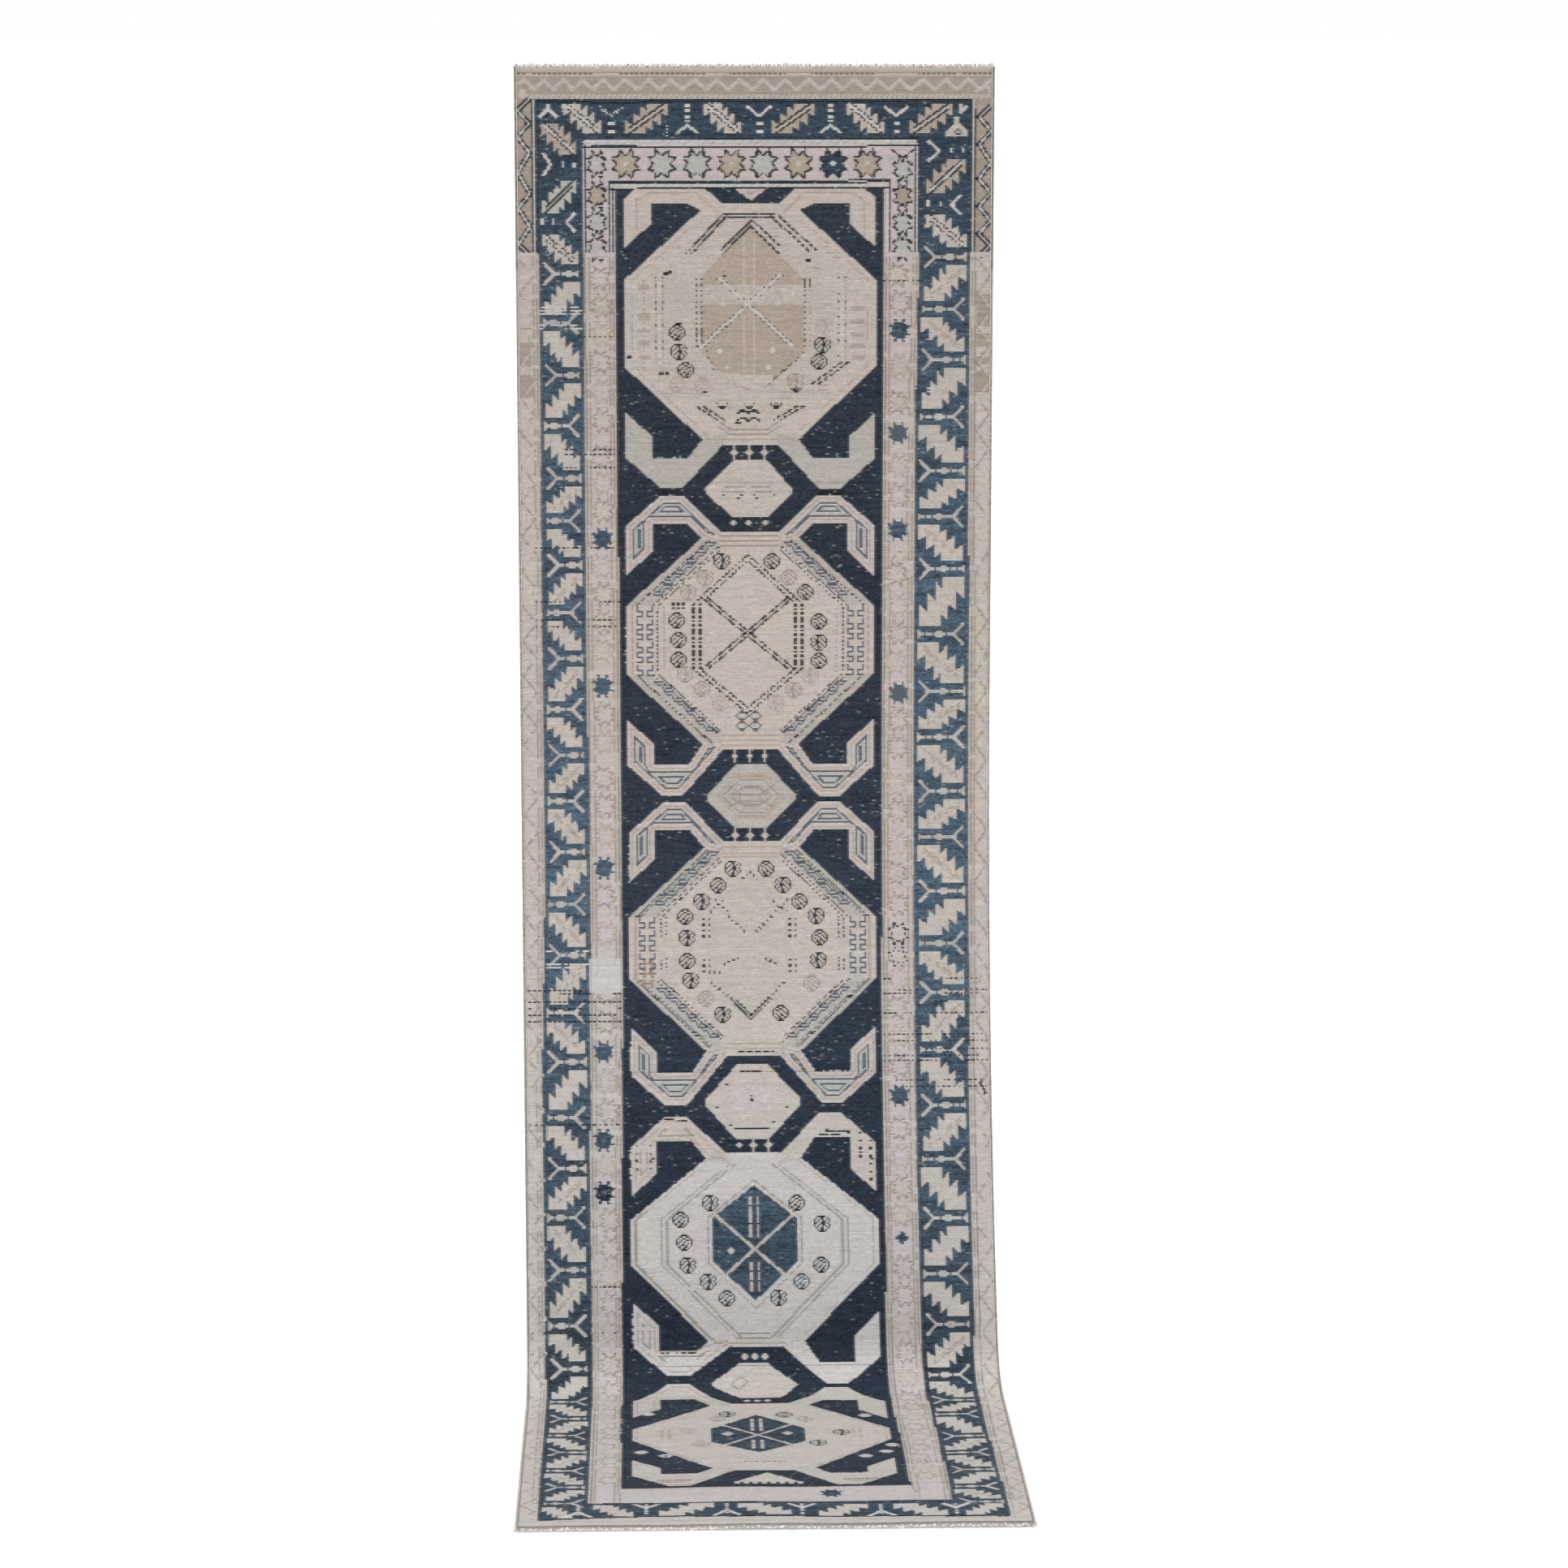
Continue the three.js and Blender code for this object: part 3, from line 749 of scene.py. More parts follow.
for r in (774.3, 777.2):
    line([(125, r), (146, r)], UMBER)
line([(120, 780), (155, 780)], TAN)
for c, r in ((88, 643.5), (96, 644), (181, 653), (188, 653), (66, 668), (76, 667), (208, 668), (201, 664)):
    line([(c - (4 if r < 655 else 0), r), (c + 2, r)], INK, 1.0)

fifth = inward(*OUTLINES[4])
inset_lines(*OUTLINES[4][:3], 25, 26, TAN, 2.4)
rings(fifth, ((2.2, UMBER),), stretched > 0.45)
rings(fifth, ((17, TAN), (21, TAN)), (np.abs(ROW - 887) < 12) & (stretched > 0.3))
blue_heart(134.8, 853, 918, 877, 900, 27.2, 889)
for c, r in ((117.5, 886), (152, 886)):
    small_diamond(c, r, BONE, 3.6)
for c, r, wool, kind in ((118, 850.5, INK, 0), (112, 859.5, UMBER, 1), (151, 853.5, INK, 1),
                         (162.5, 862, UMBER, 0), (183, 884.5, INK, 0), (95, 880, TAN, 1),
                         (102, 902.5, UMBER, 1), (169, 903, INK, 0)):
    rosette(c, r, wool, kind)
line([(126, 934.5), (151, 934.5)], INK, 1.2, (2, 1.2))
for c, r in ((72, 850), (198, 855), (68, 917), (82, 924), (195, 927), (207, 919), (211, 907)):
    Shape([(c - 2, r - 3), (c + 2, r - 3), (c + 4, r), (c + 2, r + 3), (c - 2, r + 3), (c - 4, r)]).dye(BONE)
small_diamond(82, 924, INK, 1.6)
for left in (77, 181):
    strip(left, left + 19, 966, 970, TAN)
    line([(left, 966.3), (left + 19, 966.3)], INK, 1.0, (1.5, 1))
    line([(left + 3, 970.5), (left + 16, 970.5)], UMBER, 1.0)

# %% Small hexagons and the triangles at the ends of the field
SMALL = [(BONE, (111, 259), (128, 241), (148, 241), (163, 259), (163, 262), (148, 276), (128, 276),
          (112, 262)),
         (PEARL, (112, 446), (129, 427), (148, 427), (165, 446), (165, 449), (148, 466), (129, 466),
          (112, 450)),
         (BISQUE, (109, 632), (129, 609.5), (146, 609.5), (166, 631), (166, 635), (147, 656), (127, 656),
          (109, 635)),
         (BONE, (110, 806), (127, 793), (143, 793), (161, 808), (150, 822), (127, 822), (110, 809))]
for wool, *points in SMALL:
    Shape(points).dye(wool)
for r, left, right in ((257, 123, 135), (257, 139, 150), (260.7, 121, 135), (260.7, 141, 151),
                       (614.5, 130, 143), (649, 126, 148)):
    line([(left, r), (right, r)], INK if r > 600 else UMBER)
star(137, 632, 11, 12, ROSE, SHELL, None, INK)
for side in (-1, 1):
    line([(138 + side * 14, 440), (138 + side * 6, 445), (138 + side * 6, 449), (138 + side * 14, 454)],
         UMBER, 1.0)
for r in (445, 449):
    line([(128, r), (148, r)], UMBER, 1.0)
for c, r in ((121.5, 262), (131, 264), (133, 262), (142, 264), (140.5, 262), (152.5, 262.5), (116, 636),
             (158, 636), (136.5, 629), (123.5, 647), (150, 645), (122, 622.5)):
    line([(c - 0.6, r), (c + 0.7, r)], INK)
ring([(121, 808), (127, 802), (131, 806), (126, 812)], UMBER)
for shift in (0, 2.6, 7):
    ring([(118 + shift, 446.5), (130 + shift * 0.6, 434 + shift), (147 - shift * 0.6, 434 + shift),
          (158 - shift, 446.5), (147 - shift * 0.6, 459 - shift), (130 + shift * 0.6, 459 - shift)],
         UMBER if shift else TAN)
for r, columns in ((236.4, (128.5, 137.5, 146.5)), (279.5, (128, 137, 147)), (422, (128.5, 137.5, 146.5)),
                   (470.5, (128.5, 137.5, 146.5)), (606.6, ()), (659.5, (129, 137.5, 146.5)),
                   (789, (130, 136, 142)), (827, (130, 136, 142))):
    for c in columns:
        small_diamond(c, r, BONE, 2.3)
        line([(c, r - 4), (c, r + 4)], BONE, 0.9, where=chart == NAVY)
Shape([(138.5, 955), (157, 972), (120, 972)]).dye(BONE)
for c in range(120, 158, 5):
    strip(c, c + 2.6, 971, 975.5, BONE)
chart[(ROW >= FIELD_END) & (ROW < FIELD_END + 1) & (COL > 57) & (COL < 218)] = UMBER

# %% [markdown]
# ## Age
#
# A century on a floor leaves its marks: lost pile shows the pale wefts in short streaks, the ends
# of broken knots make dotted rows near an old split, and one patch was rewoven in cream wool.

# %% Old repairs and broken rows
DAMAGE = ((28, 58, (234, 237, 245), INK, (1.6, 1.3)), (40, 58, (165,), INK, (1.5, 1.5)),
          (10, 60, (294.3, 327.6), INK, (1.5, 1.2)), (10, 60, (338, 342.5), INK, (1.3, 1.8)),
          (3, 60, (564, 566.5, 571, 575, 579, 583), INK, (1.6, 1.4)), (3, 60, (646,), INK, (1.5, 2)),
          (38, 58, (745,), INK, (1.6, 1.2)), (3, 60, (773, 786), INK, (1, 6)),
          (217, 280, (558, 565, 567.5, 572, 579), INK, (1.6, 1.5)),
          (217, 280, (592, 596, 601, 605, 608), INK, (1.5, 1.3)), (217, 280, (620, 624), INK, (1.4, 1.8)),
          (217, 240, (131, 937), INK, (1.5, 1.3)),
          (14, 40, (147.5, 149.5, 151.5, 158.5, 160.5), WHITE, (7, 2)),
          (14, 40, (540.5, 548.3, 550), WHITE, (9, 2)), (236, 247, (194.5, 197, 199.5), WHITE, (5, 1.5)))
for left, right, rows, wool, dash in DAMAGE:
    for r in rows:
        line([(left, r), (right, r)], wool, 1.0, dash, where=cloudy(18 + int(r) % 5, 10, 2) > 0.3)
rewoven = (COL > 40) & (COL < 66) & (ROW > 545) & (ROW < 566) & (chart != NAVY)
chart[rewoven] = SHELL
for r in (548, 554, 560):
    stamp("xx...xx .x...x. .xxxxx. .x...x. xx...xx", 75.5, r, {"x": RUST})
chart[(ROW > 160) & (ROW < 184) & (COL > 14) & (COL < 38) & (chart == BONE) & (cloudy(19, 9, 6) > 0.3)] = TAN
line([(275, 622), (278, 629)], INK, 1.5)

# %% Worn knots
rng = np.random.default_rng(41)
loss = cloudy(42, 22, 16) * 0.6 + cloudy(43, 7, 5) * 0.4
streak = rng.random((ROWS, COLS))
streak = np.minimum(streak, np.roll(streak, 1, 1) + 0.008)
dark = np.isin(chart, (NAVY, BLUE))
worn = dark & (streak < 0.012 + 0.05 * np.clip(loss - 0.45, 0, 1))
faded_ink = (chart == INK) & (rng.random((ROWS, COLS)) < 0.06) & (ROW > 50)
print("worn knots:", int(worn.sum()), "faded outline knots:", int(faded_ink.sum()))

# %% [markdown]
# ## Dyeing the wool
#
# Each wool has one colour, given as ordinary screen values and turned to the linear values that a
# renderer needs. Plant dyes never take evenly, so a batch of wool shifts from one row to the next,
# which weavers call abrash. The navy is darkest a third of the way down, and every wool turns a
# little cooler towards the lower end. The pale wools are also painted lighter down the rug, most of
# all on the bend, and the navy a little lighter where it first lies on the floor: that is painted
# light, which evens out the shade that falls there. Last, each knot differs from the next, a hank
# of yarn from the next few knots, and one row from another.

# %% Colours of the knots
SCREEN = {NAVY: (47, 56, 67), BLUE: (69, 84, 97), INK: (38, 45, 52), SLATE: (88, 97, 107),
          ROSE: (196, 185, 182), BONE: (193, 184, 175), ICE: (184, 183, 176), SAND: (169, 155, 142),
          BISQUE: (196, 186, 177), TAN: (178, 164, 150), UMBER: (160, 148, 137), WHITE: (202, 199, 194),
          RUST: (164, 128, 114), SHELL: (203, 196, 191), PEARL: (182, 176, 168), BROWN: (112, 100, 89)}


def linear(screen):
    """Ordinary 0 to 255 colour values as linear ones."""
    share = np.asarray(screen, float) / 255
    return np.where(share < 0.04045, share / 12.92, ((share + 0.055) / 1.055) ** 2.4)


def by_row(stops, values):
    """One multiplier for each row, joined by straight lines."""
    return np.interp(ROW[:, 0], stops, values)[:, None, None]


palette = np.array([linear(SCREEN[wool]) for wool in range(len(SCREEN))])
knots = palette[chart]
batch = (cloudy(51, 300, 9) * 0.5 + cloudy(52, 120, 3) * 0.5)[..., None]
fine_batch = cloudy(53, 26, 1.3)[..., None]
blue_batch = cloudy(54, 34, 2.2)[..., None]
COOL = {"dark": np.array([0.93, 1.0, 1.07]), "blue": np.array([0.95, 1.0, 1.02]),
        "pale": np.array([1.0, 1.045, 1.085])}
dark_wool = np.isin(chart, (NAVY, INK))[..., None]
blue_wool = (chart == BLUE)[..., None]
pale_wool = ~(dark_wool | blue_wool)
# Row multipliers of the navy: its abrash, and on the floor part a painted lift of light.
dark_abrash_and_light = by_row((75, 180, 330, 480, 540, 690, 880, 960, 1000),
                   (1.05, 0.92, 0.88, 1.15, 1.15, 1.0, 1.1, 1.0, 0.85))
blue_fade = by_row((75, 140, 250, 380, 500, 660, 740, 800, 980),
                   (0.68, 1.0, 1.1, 1.22, 1.42, 1.14, 1.12, 0.80, 0.86))
# Row multipliers of the pale wools: painted light, lighter down the rug and most of all on the bend.
pale_painted_light = by_row((60, 180, 330, 510, 690, 800, 880, 1000), (0.97, 0.97, 1.04, 1.08, 1.17, 1.30, 1.17, 1.13))
knots = np.where(dark_wool, knots * (0.80 + 0.40 * batch) * dark_abrash_and_light, knots)
knots = np.where(dark_wool, knots * COOL["dark"] ** by_row((400, 650, 900, 1000), (0.0, 1.0, 1.2, 0.4)),
                 knots)
knots = np.where(blue_wool, knots * (0.72 + 0.56 * blue_batch) * COOL["blue"], knots)
knots = np.where(blue_wool, knots * blue_fade, knots)
knots = np.where(pale_wool, knots * (0.965 + 0.07 * batch) * (0.97 + 0.06 * fine_batch), knots)
knots = np.where(pale_wool, knots * pale_painted_light, knots)
knots = np.where(pale_wool, knots * COOL["pale"] ** by_row((450, 700), (0.0, 1.0)), knots)
uneven = np.random.default_rng(55)
grain, twist = uneven.normal(0, 1, (ROWS, COLS, 1)), uneven.normal(0, 1, (ROWS, COLS, 1))
twist = sum(np.roll(twist, step, 1) for step in range(5)) / math.sqrt(5)
pick = uneven.normal(0, 1, (ROWS, 1, 1))
knots = knots * (1 + grain * np.where(pale_wool, 0.06, 0.20) + twist * np.where(pale_wool, 0.035, 0.12)
                 + pick * 0.015)
bare_weft = linear((172, 172, 167))
wear = np.random.default_rng(56).uniform(0.08, 0.6, (ROWS, COLS, 1))
knots = np.where(worn[..., None], knots + (bare_weft - knots) * wear, knots)
knots = np.where(faded_ink[..., None], knots + (palette[UMBER] - knots) * 0.75, knots)
SPREAD = 0.11           # how much of a knot's colour its fibres lay over each neighbour
knots = (1 - 2 * SPREAD) * knots + SPREAD * (np.roll(knots, 1, 1) + np.roll(knots, -1, 1))
knots = np.clip(knots, 0.01, 1)
print("mean colour of the knots:", [round(float(v), 3) for v in knots.mean((0, 1))])

# %% [markdown]
# ## How the rug hangs
#
# The rug falls straight from its upper edge, turns through a quarter circle and runs out over the
# floor, a little wider at the foot. One function gives that shape, and every piece is laid out flat
# and then sent through it. The cloth also stands off its support by a few millimetres in long soft
# waves, which are never negative, so nothing goes below the floor.

# %% The hung shape
WIDTH, LENGTH, FLARE, FLARE_START = 0.900, 3.350, 0.033, 1.150
HANGING_HEIGHT, BEND_RADIUS = 2.568, 0.100
BEND_START = HANGING_HEIGHT - BEND_RADIUS
BEND_END = BEND_START + BEND_RADIUS * math.pi / 2
ROW_PITCH, COL_PITCH = LENGTH / ROWS, WIDTH / COLS
BEAT_DRIFT, EVEN_LENGTH = 0.045, 2.92       # the rows lie up to this much higher, down to this length


def ripple(x, s):
    """How far the cloth stands off, in metres."""
    slow = 1 + np.sin(2 * math.pi * (s / 0.83 + x / 2.3) + 0.7)
    side = 1 + np.sin(2 * math.pi * (x / 0.47 + s / 3.1) + 1.9)
    foot = np.clip((s - BEND_END) / 0.3, 0, 1)
    return 0.0006 * slow + 0.0004 * side + foot * 0.0006 * (1 + np.sin(2 * math.pi * (x / 0.31 - s / 0.9)))


def hang(x, s, h):
    """Where a point of the flat rug lies: x across, s down from the upper edge, h out from its back."""
    x, s, h = np.broadcast_arrays(*(np.asarray(v, float) for v in (x, s, h)))
    h = h + ripple(x, s)
    swept = FLARE * np.clip((s - FLARE_START) / (BEND_END - FLARE_START), 0, 1) ** 2
    turn = np.clip((s - BEND_START) / BEND_RADIUS, 0, math.pi / 2)
    reach = BEND_RADIUS - h
    return np.stack([x + swept * (x + WIDTH / 2) / WIDTH,
                     reach * np.cos(turn) - BEND_RADIUS - np.maximum(s - BEND_END, 0),
                     -np.minimum(s, BEND_START) - reach * np.sin(turn)], -1)


def across(column):
    """A column of the chart as a distance from the middle, in metres."""
    return -WIDTH / 2 + np.asarray(column, float) * COL_PITCH


def along(row):
    """A row of the chart as a length from the upper edge, in metres, closer spaced in the upper half."""
    share = np.asarray(row, float) * ROW_PITCH / EVEN_LENGTH
    return share * EVEN_LENGTH - 4 * BEAT_DRIFT * share * np.clip(1 - share, 0, 1)


print("upper corner and foot:", hang(0, 0, 0).round(4), hang(0, LENGTH, 0).round(4))

# %% [markdown]
# ## The woollen pile
#
# Every knot is one quad, and its corners take their height from the four knots that meet there. The
# black wool is eaten away by the iron in its dye, so its lines lie nearly a millimetre lower, as
# they do on an old rug. Skirts close the sides of each piece down to the web. Four numbers of colour go on
# the corners of the faces. One UV map counts knots, for the yarn detail, and the other is folded so
# that a long border fits a square picture.

# %% Making a cloth of knots
PILE_FOOT, PILE_TOP = 0.0027, 0.0056        # metres out from the back of the rug
KNOT_BACK, BACK_FOOT = 0.0002, 0.0010
SEATING = 0.0004                            # how far the skirts of the pile reach into the web
height = np.full((ROWS, COLS), PILE_TOP) + np.random.default_rng(61).normal(0, 0.00013, (ROWS, COLS))
height -= 0.0009 * (chart == INK) + 0.0005 * worn + 0.0003 * (cloudy(62, 16, 22) > 0.62)
height += 0.0004 * np.isin(chart, (BONE, WHITE, SHELL, PEARL))
height = np.clip(height, PILE_FOOT + 0.0008, 0.0061)


def folded(u, v, columns, rows):
    """A UV map for a strip of columns by rows knots, cut into lengths laid side by side."""
    folds = max(1, round(math.sqrt(rows / columns)))
    deep = math.ceil(rows / folds)
    side = max(folds * (columns + 2), deep)
    lane = np.minimum(v.mean(1).astype(int) // deep, folds - 1)[:, None]
    return np.stack([(u + lane * (columns + 2) + 0.5) / side, (v - lane * deep) / side], -1) * 0.98 + 0.01


def add_uv(mesh, name, values):
    mesh.uv_layers.new(name=name).data.foreach_set("uv", np.ascontiguousarray(values, np.float32).ravel())


def new_piece(name, points, faces, material=None):
    """A smooth object from its points and its four-cornered faces."""
    mesh = bpy.data.meshes.new(name)
    points, faces = np.asarray(points, np.float32).reshape(-1, 3), np.asarray(faces, np.int32).reshape(-1, 4)
    mesh.vertices.add(len(points))
    mesh.vertices.foreach_set("co", points.ravel())
    mesh.loops.add(faces.size)
    mesh.loops.foreach_set("vertex_index", faces.ravel())
    mesh.polygons.add(len(faces))
    mesh.polygons.foreach_set("loop_start", np.arange(0, faces.size, 4, dtype=np.int32))
    mesh.update(calc_edges=True)
    mesh.polygons.foreach_set("use_smooth", np.full(len(faces), True))
    piece = bpy.data.objects.new(name, mesh)
    bpy.context.scene.collection.objects.link(piece)
    if material:
        mesh.materials.append(material)
    return piece


def corner_counts(mesh):
    """How many corners each face has."""
    counts = np.empty(len(mesh.polygons), np.int32)
    mesh.polygons.foreach_get("loop_total", counts)
    return counts


def add_wool(mesh, colours):
    """Stores one colour for each face on all its corners."""
    dyed = np.concatenate([colours, np.ones((len(colours), 1))], 1).repeat(corner_counts(mesh), 0)
    layer = mesh.attributes.new("wool", "FLOAT_COLOR", "CORNER")
    layer.data.foreach_set("color", dyed.astype(np.float32).ravel())


def knot_cloth(name, box, material, front=True):
    """The knots in a box of columns and rows (c0, c1, r0, r1), as pile or seen from the back."""
    c0, c1, r0, r1 = box
    wide, long = c1 - c0, r1 - r0
    corner = np.arange((long + 1) * (wide + 1)).reshape(long + 1, wide + 1)
    if front:
        tall = np.pad(height, 1, "edge")[r0:r1 + 2, c0:c1 + 2]
        tall = (tall[1:, 1:] + tall[:-1, 1:] + tall[1:, :-1] + tall[:-1, :-1]) / 4
        foot = PILE_FOOT - SEATING
    else:
        tall, foot = np.full((long + 1, wide + 1), KNOT_BACK), BACK_FOOT
    s, c = along(np.arange(r0, r1 + 1))[:, None], np.arange(c0, c1 + 1)[None, :]
    points = hang(across(c), s, tall).reshape(-1, 3)
    quads = np.stack([corner[:-1, :-1], corner[1:, :-1], corner[1:, 1:], corner[:-1, 1:]], -1).reshape(-1, 4)
    v, u = (g.reshape(-1) for g in np.mgrid[0:long, 0:wide])
    tint = knots[r0:r1, c0:c1].reshape(-1, 3)
    us, vs = u[:, None] + np.array([0, 0, 1, 1]), v[:, None] + np.array([0, 1, 1, 0])
    rim = np.concatenate([corner[:, 0], corner[-1, 1:], corner[-2::-1, -1], corner[0, -2:0:-1]])
    rim_v, rim_u = np.divmod(rim, wide + 1)
    low = hang(across(rim_u + c0), along(rim_v + r0), foot)
    below = len(points) + np.arange(len(rim))
    following = np.roll(np.arange(len(rim)), -1)
    skirt = np.stack([rim, below, below[following], rim[following]], -1)
    owner = np.minimum(rim_v, long - 1) * wide + np.minimum(rim_u, wide - 1)
    rim_us = np.stack([rim_u, rim_u, rim_u[following], rim_u[following]], -1)
    rim_vs = np.stack([rim_v, rim_v, rim_v[following], rim_v[following]], -1)
    faces = np.concatenate([quads, skirt])
    us, vs = np.concatenate([us, rim_us]).astype(float), np.concatenate([vs, rim_vs]).astype(float)
    if not front:
        faces, us, vs = faces[:, ::-1], us[:, ::-1], vs[:, ::-1]
    piece = new_piece(name, np.concatenate([points, low]), faces, material)
    piece.data.polygons.foreach_set("use_smooth", np.arange(len(faces)) < len(quads))
    add_uv(piece.data, "OFBake", folded(us, vs, wide, long))
    add_uv(piece.data, "knots", np.stack([us + c0, vs + r0], -1))
    # The skirts, the cut sides of the pile, take the knots' colour at 0.9: painted shade.
    add_wool(piece.data, np.concatenate([tint, tint[owner] * 0.9]))
    return piece


print(f"pile height from {height.min() * 1000:.2f} to {height.max() * 1000:.2f} mm")

# %% [markdown]
# ## Materials
#
# A small class lets the shader maths read as arithmetic: it wraps a socket, and an expression on
# wrapped sockets adds the nodes. The knotted wool reads the dyed colour from the corners, breaks it
# with fibre noise, and darkens the hollows between the knots: painted shade.

# %% Shader arithmetic
class Thread:
    """A shader value; arithmetic on it adds Math nodes."""

    def __init__(self, recipe, socket):
        self.recipe, self.socket = recipe, socket

    def math(self, operation, first, second=None):
        inputs = {0: first} if second is None else {0: first, 1: second}
        return self.recipe.node("ShaderNodeMath", {"operation": operation}, inputs)

    def __add__(self, other): return self.math("ADD", self, other)
    def __rsub__(self, other): return self.math("SUBTRACT", other, self)
    def __mul__(self, other): return self.math("MULTIPLY", self, other)
    def __pow__(self, other): return self.math("POWER", self, other)
    def sine(self): return self.math("SINE", self)
    def size(self): return self.math("ABSOLUTE", self)
    def whole(self): return self.math("FLOOR", self)
    __radd__, __rmul__ = __add__, __mul__


class Recipe:
    """A material built up node by node."""

    def __init__(self, name):
        self.material = bpy.data.materials.new(name)
        self.material.use_nodes = True
        self.tree = self.material.node_tree
        self.tree.nodes.clear()

    def node(self, kind, settings=None, inputs=None, out=0):
        """Adds a node, sets it up, feeds its sockets, and gives one of its outputs."""
        node = self.tree.nodes.new(kind)
        for key, value in (settings or {}).items():
            setattr(node, key, value)
        for key, value in (inputs or {}).items():
            if isinstance(value, Thread):
                self.tree.links.new(value.socket, node.inputs[key])
            else:
                node.inputs[key].default_value = value
        return Thread(self, node.outputs[out])

    def mix(self, share, first, second, blend="MIX"):
        return self.node("ShaderNodeMix", {"data_type": "RGBA", "blend_type": blend},
                         {0: share, 6: first, 7: second}, 2)

    def grey(self, value):
        """A value as a grey colour."""
        return self.node("ShaderNodeCombineColor", None, {0: value, 1: value, 2: value})

    def finish(self, colour, roughness, relief, depth, sheen, glow=0.0):
        """The last nodes: colour, roughness, a relief that is depth metres high, and constant sheen."""
        bump = self.node("ShaderNodeBump", None, {"Strength": 1.0, "Distance": depth, "Height": relief})
        shader = self.node("ShaderNodeBsdfPrincipled", None, {
            "Base Color": colour, "Roughness": roughness, "Normal": bump, "Sheen Weight": sheen,
            "Sheen Roughness": 0.5, "Specular IOR Level": 0.1, "Emission Color": (1, 1, 1, 1),
            "Emission Strength": glow})
        output = self.tree.nodes.new("ShaderNodeOutputMaterial")
        self.tree.links.new(shader.socket, output.inputs["Surface"])
        return self.material


# %% Wools and cotton
def knotted_wool(name, nap, rib, sheen):
    """Knots seen from the front, or from the back, where each shows as two small bumps."""
    wool = Recipe(name)
    uv = wool.node("ShaderNodeUVMap", {"uv_map": "knots"})
    parts = wool.tree.nodes.new("ShaderNodeSeparateXYZ")
    wool.tree.links.new(uv.socket, parts.inputs[0])
    column, row = Thread(wool, parts.outputs[0]), Thread(wool, parts.outputs[1])
    combed = wool.node("ShaderNodeMapping", None, {"Vector": uv, "Scale": (1.5, 0.55, 1.0)})
    fibre = wool.node("ShaderNodeTexNoise", None,
                      {"Vector": combed, "Scale": 2.6, "Detail": 4.0, "Roughness": 0.7})
    tuft = wool.node("ShaderNodeTexNoise", None, {"Vector": uv, "Scale": 0.85, "Detail": 2.0})
    warp = (column * (math.pi * rib)).sine().size()
    weft = (row * math.pi).sine().size()
    dyed = wool.node("ShaderNodeAttribute", {"attribute_name": "wool"})
    # The warp and weft terms darken the hollows between the knots: painted shade.
    shade = 0.36 + 0.52 * fibre + 0.05 * warp ** 0.5 + 0.12 * weft ** 0.5
    colour = wool.mix(1.0, dyed, wool.grey(shade), "MULTIPLY")
    relief = fibre * 0.8 + tuft * 0.3 + warp ** 0.6 * (nap * 0.6) + weft ** 0.6 * nap
    return wool.finish(colour, 0.88 + 0.1 * tuft, relief, 0.0011, sheen)


pile_wool = knotted_wool("pile_wool", 0.42, 1.0, 0.03)
back_wool = knotted_wool("knot_back_wool", 0.9, 2.0, 0.02)
print("materials:", pile_wool.name, back_wool.name)


def plain_web(name, screen, threads):
    """Plain woven cotton: warps over and under wefts, from a UV map that counts threads."""
    web = Recipe(name)
    uv = web.node("ShaderNodeUVMap", {"uv_map": "knots"})
    parts = web.tree.nodes.new("ShaderNodeSeparateXYZ")
    web.tree.links.new(uv.socket, parts.inputs[0])
    column, row = Thread(web, parts.outputs[0]) * threads, Thread(web, parts.outputs[1]) * threads
    warp = (column * math.pi).sine().size()
    weft = (row * math.pi).sine().size()
    lift = ((column.whole() + row.whole()) * (math.pi / 2)).sine().size()
    fuzz = web.node("ShaderNodeTexNoise", None, {"Vector": uv, "Scale": 4.0, "Detail": 3.0})
    stain = web.node("ShaderNodeTexNoise", None, {"Vector": uv, "Scale": 0.11, "Detail": 2.0})
    weave = warp * lift + weft * (1 - lift)
    # The weave term darkens the gaps between the threads: painted shade; the stain is real staining.
    shade = 0.60 + 0.16 * weave ** 0.5 + 0.14 * fuzz + 0.16 * stain
    colour = web.mix(1.0, (*linear(screen), 1), web.grey(shade), "MULTIPLY")
    return web.finish(colour, 0.9 + 0.08 * fuzz, weave + fuzz * 0.4, 0.0006, 0.05)


def spun_yarn(name, sheen, ply):
    """Yarn in stitches or cut ends; its colour is on its own faces."""
    yarn = Recipe(name)
    place = yarn.node("ShaderNodeTexCoord", None, None, "Object")
    fibre = yarn.node("ShaderNodeTexNoise", None, {"Vector": place, "Scale": 1800.0, "Detail": 2.0})
    clump = yarn.node("ShaderNodeTexNoise", None, {"Vector": place, "Scale": 90.0, "Detail": 2.0})
    dyed = yarn.node("ShaderNodeAttribute", {"attribute_name": "wool"})
    shade = 0.72 + 0.30 * fibre + 0.24 * clump
    colour = yarn.mix(1.0, dyed, yarn.grey(shade), "MULTIPLY")
    return yarn.finish(colour, 0.86 + 0.12 * fibre, fibre + clump * ply, 0.0004, sheen)


web_cotton = plain_web("web_cotton", (190, 181, 170), 2.0)
selvedge_wool = spun_yarn("selvedge_wool", 0.10, 0.6)
warp_cotton = spun_yarn("warp_cotton", 0.05, 0.8)

# %% [markdown]
# ## The web and the knots
#
# The cotton web is one sheet from end to end, 3.33 m long, and everything else is tied to it. The
# pile is made in whole knots, in the same bands as the borders, and the field in five lengths.

